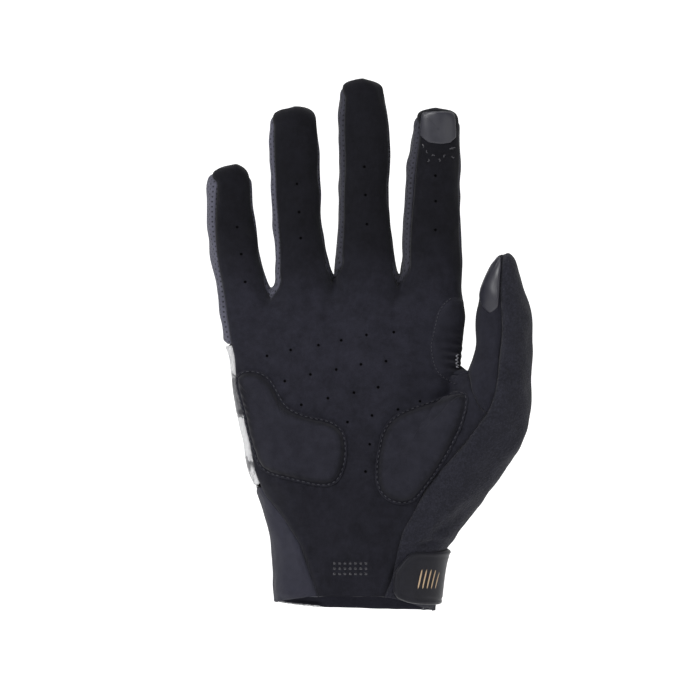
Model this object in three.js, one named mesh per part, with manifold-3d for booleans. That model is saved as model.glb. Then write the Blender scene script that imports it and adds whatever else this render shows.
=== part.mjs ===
// A full-finger cycling glove for the right hand, filled out as it is when worn.
// Millimetres. Fingers point up along +Z, the palm faces -Y and the thumb is at +X.
// The origin is the centre of the wrist opening.
import * as THREE from "three";
import { mergeVertices } from "three/addons/utils/BufferGeometryUtils.js";
import Module from "manifold-3d";

const wasm = await Module();
wasm.setup();

// Sizes of the sewn shell
const fabricThickness = 1.4;
const seamGap = 0.3;
const seatGap = 0.3;
const palmLength = 122;
const palmWidth = 98;
const palmDepth = 30;
const wristWidth = 69;
const wristDepth = 48;

// Thickness of what is sewn on top of the shell
const padEdge = 1.2;
const padRise = 2.4;
const patchThickness = 1.0;
const crotchPatchThickness = 1.2;
const gatherHeight = 0.9;
const strapThickness = 1.9;

// Roundness of the sections: 2 is an ellipse, more is squarer
const fingerRoundness = 2.25;
const palmRoundness = 2.5;
const fingerSides = 14;
const palmSides = 28;
const padOutlineSides = 24;
const patchOutlineSides = 18;

// Each digit: web is the height of its root, rootX the middle of its root, and curl how far
// the tip leans towards the palm. A row is a section: along from the root (0) to the tip (1),
// then middle and half width as shares of the width, front and back as shares of the depth.
const digits = {
  little: {
    web: 0.9934 * palmLength, length: 53.6, width: 19.6, depth: 18,
    rootX: -0.459 * palmWidth, rootY: 1, curl: 5,
    rows: [
      [-0.45, 0.1, 0.5, 0.5, 0.6],
      [-0.15, 0.06, 0.66, 0.6, 0.66],
      [0, 0, 0.57, 0.58, 0.62],
      [0.13, -0.09, 0.53, 0.54, 0.56],
      [0.3, -0.2, 0.5, 0.51, 0.52],
      [0.6, -0.325, 0.495, 0.49, 0.49],
      [0.84, -0.357, 0.449, 0.45, 0.43],
      [0.935, -0.345, 0.37, 0.37, 0.34],
      [0.98, -0.32, 0.26, 0.26, 0.23],
      [1, -0.29, 0.13, 0.13, 0.12],
    ],
  },
  ring: {
    web: 1.0295 * palmLength, length: 72, width: 20, depth: 19,
    rootX: -0.2184 * palmWidth, rootY: 0, curl: 6,
    rows: [
      [-0.35, 0.05, 0.6, 0.52, 0.64],
      [-0.12, 0.02, 0.74, 0.62, 0.68],
      [0, 0, 0.63, 0.6, 0.64],
      [0.1, -0.05, 0.56, 0.55, 0.57],
      [0.2, -0.08, 0.51, 0.52, 0.54],
      [0.45, -0.17, 0.48, 0.49, 0.5],
      [0.7, -0.21, 0.5, 0.49, 0.47],
      [0.867, -0.23, 0.5, 0.46, 0.42],
      [0.935, -0.24, 0.45, 0.4, 0.36],
      [0.98, -0.225, 0.35, 0.29, 0.26],
      [1, -0.22, 0.16, 0.13, 0.12],
    ],
  },
  middle: {
    web: 1.0525 * palmLength, length: 80, width: 20.4, depth: 19.5,
    rootX: 0.0408 * palmWidth, rootY: 0, curl: 6,
    rows: [
      [-0.33, 0.02, 0.6, 0.52, 0.64],
      [-0.12, 0, 0.74, 0.62, 0.68],
      [0, 0, 0.627, 0.6, 0.64],
      [0.1, -0.06, 0.575, 0.55, 0.58],
      [0.265, -0.08, 0.51, 0.52, 0.53],
      [0.5, -0.09, 0.49, 0.49, 0.49],
      [0.745, -0.1, 0.51, 0.48, 0.46],
      [0.865, -0.11, 0.461, 0.44, 0.41],
      [0.94, -0.12, 0.425, 0.38, 0.34],
      [0.985, -0.118, 0.34, 0.27, 0.24],
      [1, -0.115, 0.22, 0.16, 0.14],
    ],
  },
  index: {
    web: 1.0393 * palmLength, length: 70, width: 21.6, depth: 19.5,
    rootX: 0.298 * palmWidth, rootY: 0.5, curl: 5,
    rows: [
      [-0.4, -0.04, 0.56, 0.52, 0.6],
      [-0.12, -0.05, 0.64, 0.6, 0.66],
      [0, 0, 0.574, 0.58, 0.62],
      [0.2, 0.015, 0.55, 0.54, 0.55],
      [0.394, 0.01, 0.51, 0.51, 0.52],
      [0.6, 0.047, 0.5, 0.5, 0.49],
      [0.806, 0.093, 0.463, 0.47, 0.45],
      [0.9, 0.097, 0.42, 0.42, 0.39],
      [0.96, 0.095, 0.365, 0.33, 0.3],
      [0.99, 0.1, 0.28, 0.23, 0.21],
      [1, 0.1, 0.17, 0.14, 0.12],
    ],
  },
  thumb: {
    web: 0.7607 * palmLength, length: 46, width: 22.4, depth: 22,
    rootX: 0.5857 * palmWidth, rootY: -8, curl: 2,
    rows: [
      [0, 0, 0.5625, 0.66, 0.66],
      [0.1, 0.04, 0.52, 0.62, 0.62],
      [0.243, 0.0625, 0.5, 0.56, 0.56],
      [0.452, 0.054, 0.491, 0.52, 0.5],
      [0.6, 0.028, 0.435, 0.475, 0.455],
      [0.765, 0.018, 0.335, 0.39, 0.37],
      [0.9, 0.042, 0.225, 0.285, 0.265],
      [0.974, 0.054, 0.152, 0.19, 0.17],
      [1, 0.06, 0.09, 0.1, 0.1],
    ],
  },
};

// Body of the hand from the hem up to the webs. A row: height as a share of the palm's length,
// left and right edge as shares of the palm's width, front and back as shares of its depth.
const palmRows = [
  [0.3, -0.41, 0.4, 0.78, 0.64],
  [0.42, -0.444, 0.4, 0.72, 0.57],
  [0.5, -0.465, 0.405, 0.67, 0.54],
  [0.6, -0.496, 0.41, 0.61, 0.52],
  [0.72, -0.515, 0.42, 0.54, 0.51],
  [0.833, -0.535, 0.424, 0.49, 0.5],
  [0.911, -0.555, 0.424, 0.45, 0.48],
  [0.96, -0.55, 0.42, 0.4, 0.43],
  [0.99, -0.5, 0.41, 0.32, 0.35],
  [1.01, -0.4, 0.39, 0.18, 0.2],
];

// Cuff: height as a share of the palm's length, left, right, front and back as shares of the
// wrist's width and depth.
const cuffRows = [
  [-0.09, -0.49, 0.445, 0.5, 0.5],
  [0, -0.493, 0.457, 0.5, 0.5],
  [0.105, -0.498, 0.48, 0.49, 0.48],
  [0.184, -0.498, 0.507, 0.49, 0.46],
];

// Ball of the thumb, under the thumb's root: height as a share of the palm's length, left and
// right edge as shares of the palm's width, front and back as shares of the thumb's depth.
const thumbBallRows = [
  [0.09, 0.02, 0.33, 0.8, 0.5],
  [0.184, 0.02, 0.372, 0.82, 0.66],
  [0.3, 0.04, 0.48, 0.84, 0.73],
  [0.4, 0.09, 0.575, 0.84, 0.74],
  [0.5, 0.17, 0.653, 0.81, 0.72],
  [0.6, 0.3, 0.698, 0.75, 0.7],
  [0.68, 0.4, 0.706, 0.69, 0.68],
];
const thumbBallTop = thumbBallRows.at(-1)[0];

// Seams. Share of a finger's depth at which the palm side and the back end, on the left and
// the right side of each finger; between them lies the side strip. At the tip they meet.
const frontSeamLeft = -0.36;
const frontSeamRight = -0.22;
const backSeam = 0.22;
const tipSeamLength = 9;
const tipClosed = 0.35;

// Heights between which the back wraps to the front at the little-finger edge
const wrapTop = 0.836 * palmLength;
const wrapFront = -0.38;
const wrapBlend = 3;

// Heights and places clear of the whole glove, where the cuts end
const clearBelow = -0.25 * palmLength;
const clearAbove = 2 * palmLength;
const reach = 70;

// Superellipse stack of sections: a section is z, left, right, y, front, back.
function stackGeometry(sections, sides, roundness) {
  const positions = [];
  for (const s of sections) {
    const middle = (s.left + s.right) / 2;
    const half = (s.right - s.left) / 2;
    for (let i = 0; i < sides; i += 1) {
      const angle = (i / sides) * 2 * Math.PI;
      const c = Math.cos(angle);
      const d = Math.sin(angle);
      const x = middle + half * Math.sign(c) * Math.abs(c) ** (2 / roundness);
      const depth = d < 0 ? s.front : s.back;
      positions.push(x, s.y + depth * Math.sign(d) * Math.abs(d) ** (2 / roundness), s.z);
    }
  }
  const indices = [];
  for (let k = 0; k + 1 < sections.length; k += 1) {
    for (let i = 0; i < sides; i += 1) {
      const a = k * sides + i;
      const b = k * sides + (i + 1) % sides;
      indices.push(a, b, b + sides, a, b + sides, a + sides);
    }
  }
  const last = sections.at(-1);
  const bottom = positions.length / 3;
  positions.push((sections[0].left + sections[0].right) / 2, sections[0].y, sections[0].z);
  positions.push((last.left + last.right) / 2, last.y, last.z);
  const ringStart = (sections.length - 1) * sides;
  for (let i = 0; i < sides; i += 1) {
    const j = (i + 1) % sides;
    indices.push(bottom, j, i, bottom + 1, ringStart + i, ringStart + j);
  }
  const geometry = new THREE.BufferGeometry();
  geometry.setAttribute("position", new THREE.Float32BufferAttribute(positions, 3));
  geometry.setIndex(indices);
  return geometry;
}

// Sections grown outwards by a distance, or inset where it is negative. The top is lowered too.
function grown(sections, distance) {
  const top = sections.at(-1).z;
  const dome = 10;
  return sections.map((s) => {
    const near = Math.max(0, 1 - (top - s.z) / dome);
    const least = 0.4;
    const middle = (s.left + s.right) / 2;
    const half = Math.max((s.right - s.left) / 2 + distance, least);
    return {
      z: s.z + distance * near,
      left: middle - half,
      right: middle + half,
      y: s.y,
      front: Math.max(s.front + distance, least),
      back: Math.max(s.back + distance, least),
    };
  });
}

function digitSections(digit) {
  return digit.rows.map(([along, middle, half, front, back]) => {
    const x = digit.rootX + middle * digit.width;
    return {
      z: digit.web + along * digit.length,
      left: x - half * digit.width,
      right: x + half * digit.width,
      y: digit.rootY - digit.curl * Math.max(along, 0) ** 2,
      front: front * digit.depth,
      back: back * digit.depth,
    };
  });
}

const cuffSections = cuffRows.map(([height, left, right, front, back]) => ({
  z: height * palmLength,
  left: left * wristWidth,
  right: right * wristWidth,
  y: 0,
  front: front * wristDepth,
  back: back * wristDepth,
}));
const palmSections = palmRows.map(([height, left, right, front, back]) => ({
  z: height * palmLength,
  left: left * palmWidth,
  right: right * palmWidth,
  y: 0,
  front: front * palmDepth,
  back: back * palmDepth,
}));
const thumbBallSections = thumbBallRows.map(([height, left, right, front, back]) => ({
  z: height * palmLength,
  left: left * palmWidth,
  right: right * palmWidth,
  y: (digits.thumb.rootY * height) / thumbBallTop,
  front: front * digits.thumb.depth,
  back: back * digits.thumb.depth,
}));
const fingers = [digits.little, digits.ring, digits.middle, digits.index];
const stacks = [
  { sections: [...cuffSections, ...palmSections], sides: palmSides, roundness: palmRoundness },
  ...fingers.map((finger) => ({
    sections: digitSections(finger),
    sides: fingerSides,
    roundness: fingerRoundness,
  })),
  {
    sections: [...thumbBallSections, ...digitSections(digits.thumb)],
    sides: fingerSides,
    roundness: fingerRoundness,
  },
];

// Largest body of a cut piece, without the crumbs that a slanted cut can leave
function largest(solid) {
  return solid.decompose().reduce((best, next) => (next.volume() > best.volume() ? next : best));
}

// Closed geometry to solid and back
function toSolid(geometry) {
  geometry.deleteAttribute("normal");
  geometry.deleteAttribute("uv");
  const merged = mergeVertices(geometry, 1e-4);
  return new wasm.Manifold(new wasm.Mesh({
    numProp: 3,
    vertProperties: new Float32Array(merged.attributes.position.array),
    triVerts: new Uint32Array(merged.index.array),
  }));
}

function toGeometry(solid) {
  const mesh = solid.getMesh();
  const geometry = new THREE.BufferGeometry();
  geometry.setAttribute("position", new THREE.BufferAttribute(new Float32Array(mesh.vertProperties), 3));
  geometry.setIndex(new THREE.BufferAttribute(new Uint32Array(mesh.triVerts), 1));
  return geometry;
}

// Union of all stacks, grown by a distance
function handForm(distance) {
  return stacks
    .map((s) => toSolid(stackGeometry(grown(s.sections, distance), s.sides, s.roundness)))
    .reduce((all, next) => all.add(next));
}

// Depth of the front surface at a place, or nothing beside the hand
function sectionAt(sections, z) {
  const top = sections.findIndex((s) => s.z > z);
  if (top < 1) return null;
  const [a, b] = [sections[top - 1], sections[top]];
  const t = (z - a.z) / (b.z - a.z);
  const mix = (key) => a[key] + (b[key] - a[key]) * t;
  return { left: mix("left"), right: mix("right"), y: mix("y"), front: mix("front") };
}

function frontDepth(x, z) {
  let depth = 0;
  for (const stack of stacks) {
    const s = sectionAt(stack.sections, z);
    if (s === null) continue;
    const u = Math.abs((x - (s.left + s.right) / 2) / ((s.right - s.left) / 2));
    if (u < 1) depth = Math.min(depth, s.y - s.front * (1 - u ** stack.roundness) ** (1 / stack.roundness));
  }
  return depth;
}

// Prism over an outline in X and Z, between two depths
function prism(points, nearY, farY) {
  const shape = new THREE.Shape(points.map(([x, z]) => new THREE.Vector2(x, z)));
  const geometry = new THREE.ExtrudeGeometry(shape, { depth: farY - nearY, bevelEnabled: false });
  geometry.rotateX(Math.PI / 2);
  geometry.translate(0, farY, 0);
  return toSolid(geometry);
}

// Outline moved outwards by a distance, corner by corner
function grownOutline(points, distance) {
  const area = points.reduce((sum, [x, z], i) => {
    const [nx, nz] = points[(i + 1) % points.length];
    return sum + x * nz - nx * z;
  }, 0);
  const side = Math.sign(area) * distance;
  return points.map((point, i) => {
    const before = points[(i + points.length - 1) % points.length];
    const after = points[(i + 1) % points.length];
    const a = new THREE.Vector2(point[0] - before[0], point[1] - before[1]).normalize();
    const b = new THREE.Vector2(after[0] - point[0], after[1] - point[1]).normalize();
    const normal = new THREE.Vector2(a.y + b.y, -a.x - b.x).normalize();
    const stretch = Math.max(a.y * normal.x - a.x * normal.y, 0.4);
    return [point[0] + (normal.x * side) / stretch, point[1] + (normal.y * side) / stretch];
  });
}

// Smooth closed outline through points, by a Catmull-Rom curve
function smoothOutline(points, count) {
  const curve = new THREE.CatmullRomCurve3(
    points.map(([x, z]) => new THREE.Vector3(x, z, 0)), true, "centripetal");
  return curve.getSpacedPoints(count).slice(0, -1).map((p) => [p.x, p.y]);
}

// Depth of a seam at a place: each finger has a level on its left and one on its right side.
function seamLevel(finger, z, leftShare, rightShare) {
  const along = (z - finger.web) / finger.length;
  const y = finger.rootY - finger.curl * Math.min(Math.max(along, 0), 1) ** 2;
  const toTip = (finger.web + finger.length - z) / tipSeamLength;
  const open = Math.min(Math.max(toTip - tipClosed, 0), 1);
  return [y + leftShare * finger.depth * open, y + rightShare * finger.depth * open];
}

// Surface of a seam over the whole front view, closed towards the front or the back
function seamSolid(leftShare, rightShare, wrapped, shift, farY) {
  const heights = [clearBelow, wrapTop, wrapTop + wrapBlend, digits.middle.web];
  for (const finger of fingers) {
    const tip = finger.web + finger.length;
    heights.push(tip - (1 + tipClosed) * tipSeamLength, tip - tipClosed * tipSeamLength);
  }
  heights.push(clearAbove);
  heights.sort((a, b) => a - b);
  const rows = heights.map((z) => {
    const edges = fingers.flatMap((finger, i) => {
      const held = Math.min(Math.max(z, finger.web), finger.web + finger.length * 0.98);
      const s = sectionAt(digitSections(finger), held);
      const middle = (s.left + s.right) / 2;
      const inside = 0.4 * finger.width;
      const [left, right] = seamLevel(finger, z, leftShare, rightShare);
      const wraps = i === 0 && z <= wrapTop;
      return [[middle - inside, wraps ? wrapped * palmDepth : left], [middle + inside, right]];
    });
    const row = edges.flatMap((edge, i) => {
      if (i === 0 || i % 2 === 1) return [edge];
      const before = edges[i - 1];
      return [[(before[0] + edge[0]) / 2, (before[1] + edge[1]) / 2], edge];
    });
    row.unshift([-reach, row[0][1]]);
    row.push([2 * reach, row.at(-1)[1]]);
    return row.map(([x, y]) => [x, y + shift, z]);
  });
  const columns = rows[0].length;
  const near = rows.flat();
  const far = near.map(([x, , z]) => [x, farY, z]);
  const indices = [];
  const quad = (a, b, c, d) => indices.push(a, b, c, a, c, d);
  const size = near.length;
  for (let r = 0; r + 1 < rows.length; r += 1) {
    for (let k = 0; k + 1 < columns; k += 1) {
      const a = r * columns + k;
      quad(a, a + 1, a + columns + 1, a + columns);
      quad(size + a, size + a + columns, size + a + columns + 1, size + a + 1);
    }
    const left = r * columns;
    const right = left + columns - 1;
    quad(left, left + columns, size + left + columns, size + left);
    quad(right, size + right, size + right + columns, right + columns);
  }
  for (let k = 0; k + 1 < columns; k += 1) {
    const top = (rows.length - 1) * columns + k;
    quad(k, size + k, size + k + 1, k + 1);
    quad(top, top + 1, size + top + 1, size + top);
  }
  if (farY < 0) {
    for (let i = 0; i < indices.length; i += 3) [indices[i], indices[i + 1]] = [indices[i + 1], indices[i]];
  }
  const geometry = new THREE.BufferGeometry();
  geometry.setAttribute("position", new THREE.Float32BufferAttribute([...near, ...far].flat(), 3));
  geometry.setIndex(indices);
  return toSolid(geometry);
}

// Places on the front are given as shares of the palm's width and length.
const place = ([x, z]) => [x * palmWidth, z * palmLength];
const places = (points) => points.map(place);

// Seam of the palm against the thumb, from the thumb crotch down to the hem
const thumbSeam = places([
  [0.529, 0.615], [0.495, 0.577], [0.435, 0.512], [0.373, 0.457], [0.285, 0.38], [0.232, 0.294],
  [0.187, 0.23], [0.168, 0.174], [0.142, 0.074], [0.118, 0.022], [0.11, 0],
]);
// Upright seam on the front of the thumb, from the tip down
const thumbFrontSeam = places([
  [0.6, 1.2], [0.6, 1.12], [0.588, 0.885], [0.577, 0.82], [0.572, 0.744], [0.56, 0.686],
  [0.547, 0.648], [0.529, 0.615],
]);
// Seam from the crotch down to where the thumb's two seams meet
const crotchSeam = places([
  [0.529, 0.615], [0.487, 0.646], [0.459, 0.692], [0.436, 0.72], [0.45, 0.762], [0.454, 1.2],
]);
const thumbBackSeam = places([
  [0.455, 1.2], [0.455, 0.76], [0.44, 0.6], [0.4, 0.38], [0.33, 0.15], [0.325, -0.2],
]);

const beyond = 1.5 * reach;
const thumbInnerOutline = [...thumbFrontSeam, ...crotchSeam.slice(1)];
const thumbOuterFront = [
  ...thumbSeam, [thumbSeam.at(-1)[0], clearBelow], [beyond, clearBelow], [beyond, 1.2 * palmLength],
  ...thumbFrontSeam.slice(0, -1),
];
const thumbOuterBack = [...thumbBackSeam, [beyond, -0.2 * palmLength], [beyond, 1.2 * palmLength]];
// Slanted seam of the stretch panel at the little-finger side of the cuff
const wristSideSeam = places([
  [-0.7, 0.372], [-0.45, 0.372], [-0.416, 0.37], [-0.318, 0.279], [-0.237, 0.18], [-0.188, 0.066],
  [-0.163, 0],
]);
const wristSideOutline = [
  ...wristSideSeam, [wristSideSeam.at(-1)[0], clearBelow], [wristSideSeam[0][0], clearBelow],
];
const wristSideDepth = 0.2 * palmDepth;
const thumbInnerDepth = 0;

const outlineGrownBy = (points, distance) => (distance === 0 ? points : grownOutline(points, distance));

function thumbInnerRegion(distance) {
  return prism(outlineGrownBy(thumbInnerOutline, distance), -reach, thumbInnerDepth + distance);
}

function thumbOuterRegion(distance) {
  const front = prism(outlineGrownBy(thumbOuterFront, distance), -reach, thumbInnerDepth + distance);
  return front.add(prism(outlineGrownBy(thumbOuterBack, distance), thumbInnerDepth - distance, reach));
}

function wristSideRegion(distance) {
  return prism(outlineGrownBy(wristSideOutline, distance), -reach, wristSideDepth + distance);
}

// Hem of the palm side and of the back, which hangs lower
const hemFront = places([
  [-0.9, 0], [-0.347, 0], [-0.277, -0.01], [-0.196, 0.013], [-0.094, 0.029], [0.09, 0.014], [0.118, 0.02],
  [0.167, -0.005], [0.228, -0.026], [0.308, -0.033], [0.9, -0.033], [0.9, -0.3], [-0.9, -0.3],
]);
const hemBack = places([
  [-0.9, 0], [-0.347, 0], [-0.277, -0.007], [-0.114, -0.026], [0.171, -0.035], [0.308, -0.037],
  [0.9, -0.037], [0.9, -0.3], [-0.9, -0.3],
]);
const belowHem = prism(hemFront, -reach, seamGap).add(prism(hemBack, 0, reach));

// The whole shell, then its panels
const shell = handForm(0).subtract(handForm(-fabricThickness)).subtract(belowHem);
const thumbInner = shell.intersect(thumbInnerRegion(0));
const thumbOuter = shell.intersect(thumbOuterRegion(0)).subtract(thumbInnerRegion(seamGap));
const withoutThumb = shell.subtract(thumbInnerRegion(seamGap)).subtract(thumbOuterRegion(seamGap));
const wristSide = withoutThumb.intersect(wristSideRegion(0));
const body = withoutThumb.subtract(wristSideRegion(seamGap));
const half = seamGap / 2;
const frontLevels = [frontSeamLeft, frontSeamRight, wrapFront];
const backLevels = [backSeam, backSeam, wrapFront];
const palmPanel = body.intersect(seamSolid(...frontLevels, -half, -reach));
const backPanel = body.intersect(seamSolid(...backLevels, half, reach));
const sideBand = body
  .subtract(seamSolid(...frontLevels, half, -reach))
  .subtract(seamSolid(...backLevels, -half, reach));

// Line of section middles of a finger, for parting the side band
const sideLow = 0.72 * palmLength;

function middleLine(finger) {
  const rows = digitSections(finger).slice(1);
  const line = rows.map((s) => [(s.left + s.right) / 2, s.z]);
  return [[line[0][0], sideLow], ...line, [line.at(-1)[0], clearAbove]];
}

function betweenFingers(left, right) {
  return prism([...middleLine(left), ...middleLine(right).reverse()], -reach, reach);
}

const leftOfLittle = prism(
  [...middleLine(digits.little), [-reach, clearAbove], [-reach, sideLow]], -reach, reach);
const rightOfIndex = prism(
  [...middleLine(digits.index), [reach, clearAbove], [reach, sideLow]], -reach, reach);

// Pads and patches lie on the shell, a seat gap clear of it.
const seat = handForm(seatGap);

// Sheet of an even thickness over an outline, following the shell
function followingPatch(outline, thickness, nearY, farY) {
  return handForm(seatGap + thickness).subtract(seat).intersect(prism(outline, nearY, farY));
}

// Pad over an outline: rings from its middle out, highest inside and thin at the stitched edge
function drapedPad(outline, rise) {
  const rings = [0.3, 0.6, 0.82, 0.94, 1];
  const sunk = 4;
  const count = outline.length;
  const middle = outline.reduce((sum, [x, z]) => [sum[0] + x / count, sum[1] + z / count], [0, 0]);
  const grid = [middle];
  const shares = [0];
  for (const ring of rings) {
    for (const [x, z] of outline) {
      grid.push([middle[0] + (x - middle[0]) * ring, middle[1] + (z - middle[1]) * ring]);
      shares.push(ring);
    }
  }
  const outer = grid.map(([x, z], i) => [x, frontDepth(x, z) - seatGap - rise(shares[i], x, z), z]);
  const inner = grid.map(([x, z]) => [x, frontDepth(x, z) + sunk, z]);
  const size = outer.length;
  const indices = [];
  const both = (a, b, c) => indices.push(a, b, c, size + a, size + c, size + b);
  for (let i = 0; i < count; i += 1) {
    const j = (i + 1) % count;
    both(0, 1 + i, 1 + j);
    for (let r = 0; r + 1 < rings.length; r += 1) {
      const a = 1 + r * count + i;
      const b = 1 + r * count + j;
      both(a, a + count, b);
      both(b, a + count, b + count);
    }
    const rim = 1 + (rings.length - 1) * count;
    indices.push(rim + i, size + rim + i, rim + j, rim + j, size + rim + i, size + rim + j);
  }
  const geometry = new THREE.BufferGeometry();
  geometry.setAttribute("position", new THREE.Float32BufferAttribute([...outer, ...inner].flat(), 3));
  geometry.setIndex(indices);
  const solid = toSolid(geometry);
  const upright = solid.volume() < 0 ? toSolid(flipped(geometry)) : solid;
  return upright.subtract(seat);
}

function flipped(geometry) {
  const index = Array.from(geometry.index.array);
  for (let i = 0; i < index.length; i += 3) [index[i], index[i + 1]] = [index[i + 1], index[i]];
  const other = new THREE.BufferGeometry();
  other.setAttribute("position", geometry.attributes.position.clone());
  other.setIndex(index);
  return other;
}

const padOutlineOuter = smoothOutline(places([
  [-0.499, 0.731], [-0.468, 0.749], [-0.424, 0.75], [-0.38, 0.738], [-0.348, 0.71], [-0.322, 0.667],
  [-0.291, 0.628], [-0.247, 0.61], [-0.193, 0.596], [-0.131, 0.589], [-0.087, 0.575], [-0.06, 0.55],
  [-0.05, 0.5], [-0.056, 0.45], [-0.078, 0.397], [-0.113, 0.377], [-0.176, 0.379], [-0.247, 0.393],
  [-0.317, 0.408], [-0.371, 0.418], [-0.401, 0.439], [-0.424, 0.486], [-0.446, 0.557], [-0.463, 0.621],
  [-0.481, 0.671],
]), padOutlineSides);
const padOutlineThumb = smoothOutline(places([
  [0.444, 0.677], [0.446, 0.662], [0.439, 0.627], [0.424, 0.583], [0.407, 0.55], [0.376, 0.5],
  [0.311, 0.415], [0.267, 0.365], [0.227, 0.326], [0.178, 0.317], [0.134, 0.326], [0.094, 0.351],
  [0.076, 0.387], [0.076, 0.436], [0.088, 0.493], [0.103, 0.55], [0.134, 0.589], [0.187, 0.617],
  [0.261, 0.639], [0.342, 0.661], [0.386, 0.674], [0.425, 0.682],
]), padOutlineSides);
const crotchOutline = smoothOutline(places([
  [0.384, 0.993], [0.351, 0.973], [0.324, 0.934], [0.311, 0.884], [0.3, 0.841], [0.299, 0.813],
  [0.308, 0.774], [0.323, 0.747], [0.344, 0.73], [0.373, 0.717], [0.396, 0.711], [0.414, 0.721],
  [0.416, 0.787], [0.416, 0.885], [0.41, 0.967],
]), patchOutlineSides);
const indexTip = digits.index;
const indexOutline = [
  [-0.4, 0.968], [-0.45, 0.85], [-0.29, 0.745], [-0.04, 0.733], [0.12, 0.741], [0.31, 0.795], [0.33, 0.92],
  [0.28, 0.965],
].map(([x, along]) => [
  indexTip.rootX + (0.1 + x) * indexTip.width, indexTip.web + along * indexTip.length]);
const thumbTip = digits.thumb;
const thumbTipOutline = [
  [0.03, 0.97], [-0.12, 0.88], [-0.22, 0.72], [-0.36, 0.56], [-0.27, 0.52], [-0.18, 0.47], [-0.02, 0.54],
  [0.0, 0.72],
].map(([x, along]) => [
  thumbTip.rootX + (0.03 + x) * thumbTip.width, thumbTip.web + along * thumbTip.length]);
const strapOutline = places([
  [0.153, 0.036], [0.155, 0.064], [0.16, 0.095], [0.191, 0.129], [0.225, 0.158], [0.285, 0.16],
  [0.35, 0.169], [0.7, 0.179], [0.7, -0.013], [0.3, -0.016], [0.225, -0.01], [0.194, -0.001], [0.163, 0.018],
]);
const strapBackOutline = places([[0.05, 0.175], [0.7, 0.179], [0.7, -0.013], [0.05, -0.012]]);
const padRiseAt = (share) => padEdge + padRise * (1 - share ** 3);
const gatherPitch = 4.2;
const gatherRise = (share, x, z) => crotchPatchThickness
  + gatherHeight * (1 - share) * (1 + Math.sin((2 * Math.PI * z) / gatherPitch));

const heelPadOuter = drapedPad(padOutlineOuter, padRiseAt);
const heelPadThumb = drapedPad(padOutlineThumb, padRiseAt);
const crotchPatch = drapedPad(crotchOutline, gatherRise);
const indexPatchBack = -0.2 * digits.index.depth;
const thumbPatchBack = -0.46 * digits.thumb.depth;
const indexTipPatch = followingPatch(indexOutline, patchThickness, -reach, indexPatchBack);
const thumbTipPatch = followingPatch(thumbTipOutline, patchThickness, -reach, thumbPatchBack);
const strapRegion = prism(strapOutline, -reach, 0).add(prism(strapBackOutline, 0, reach));
const strap = handForm(seatGap + strapThickness).subtract(seat).intersect(strapRegion);

// Finishes
const finish = (color, roughness) => ({ color, roughness, metalness: 0 });
const suede = finish(0x24242c, 0.85);
const mesh = finish(0x4a4b58, 0.8);
const terry = finish(0x2e2e36, 0.95);
const stretch = finish(0x34343d, 0.8);
const print = finish(0x8e9096, 0.75);
const touch = finish(0x55586a, 0.45);
const strapFinish = finish(0x2a2a31, 0.7);

const glove = new THREE.Group();

function addPanel(name, solid, look) {
  const panel = new THREE.Mesh(toGeometry(largest(solid)), new THREE.MeshStandardMaterial(look));
  panel.name = name;
  glove.add(panel);
}

addPanel("palm_panel", palmPanel, suede);
addPanel("back_panel", backPanel, print);
addPanel("little_finger_side", sideBand.intersect(leftOfLittle), mesh);
addPanel("fourchette_little_ring", sideBand.intersect(betweenFingers(digits.little, digits.ring)), mesh);
addPanel("fourchette_ring_middle", sideBand.intersect(betweenFingers(digits.ring, digits.middle)), mesh);
addPanel("fourchette_middle_index", sideBand.intersect(betweenFingers(digits.middle, digits.index)), mesh);
addPanel("index_side_panel", sideBand.intersect(rightOfIndex), mesh);
addPanel("thumb_inner_panel", thumbInner, suede);
addPanel("thumb_outer_panel", thumbOuter, terry);
addPanel("wrist_side_panel", wristSide, stretch);
addPanel("wrist_strap", strap, strapFinish);
addPanel("heel_pad_outer", heelPadOuter, suede);
addPanel("heel_pad_thumb", heelPadThumb, suede);
addPanel("thumb_crotch_patch", crotchPatch, suede);
addPanel("index_tip_patch", indexTipPatch, touch);
addPanel("thumb_tip_patch", thumbTipPatch, touch);

export default glove;
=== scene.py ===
import math
import bmesh
import bpy
import numpy as np
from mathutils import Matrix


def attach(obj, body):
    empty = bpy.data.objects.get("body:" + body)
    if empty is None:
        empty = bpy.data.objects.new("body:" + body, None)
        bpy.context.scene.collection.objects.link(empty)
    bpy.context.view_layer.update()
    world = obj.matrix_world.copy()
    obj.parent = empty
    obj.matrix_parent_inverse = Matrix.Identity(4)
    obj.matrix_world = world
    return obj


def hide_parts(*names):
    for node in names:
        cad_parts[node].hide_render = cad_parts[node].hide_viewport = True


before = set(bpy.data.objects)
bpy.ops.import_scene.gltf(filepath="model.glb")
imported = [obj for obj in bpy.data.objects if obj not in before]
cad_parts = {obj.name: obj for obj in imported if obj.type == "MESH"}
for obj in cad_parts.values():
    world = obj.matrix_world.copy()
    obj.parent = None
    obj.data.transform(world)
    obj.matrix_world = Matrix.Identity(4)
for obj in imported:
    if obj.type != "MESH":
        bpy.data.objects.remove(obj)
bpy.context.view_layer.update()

mm = 0.001
rowStep = 0.7     # mm between two rows of a panel's grid
stripColumns = 35
print("cycling glove: frame loaded")


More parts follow.
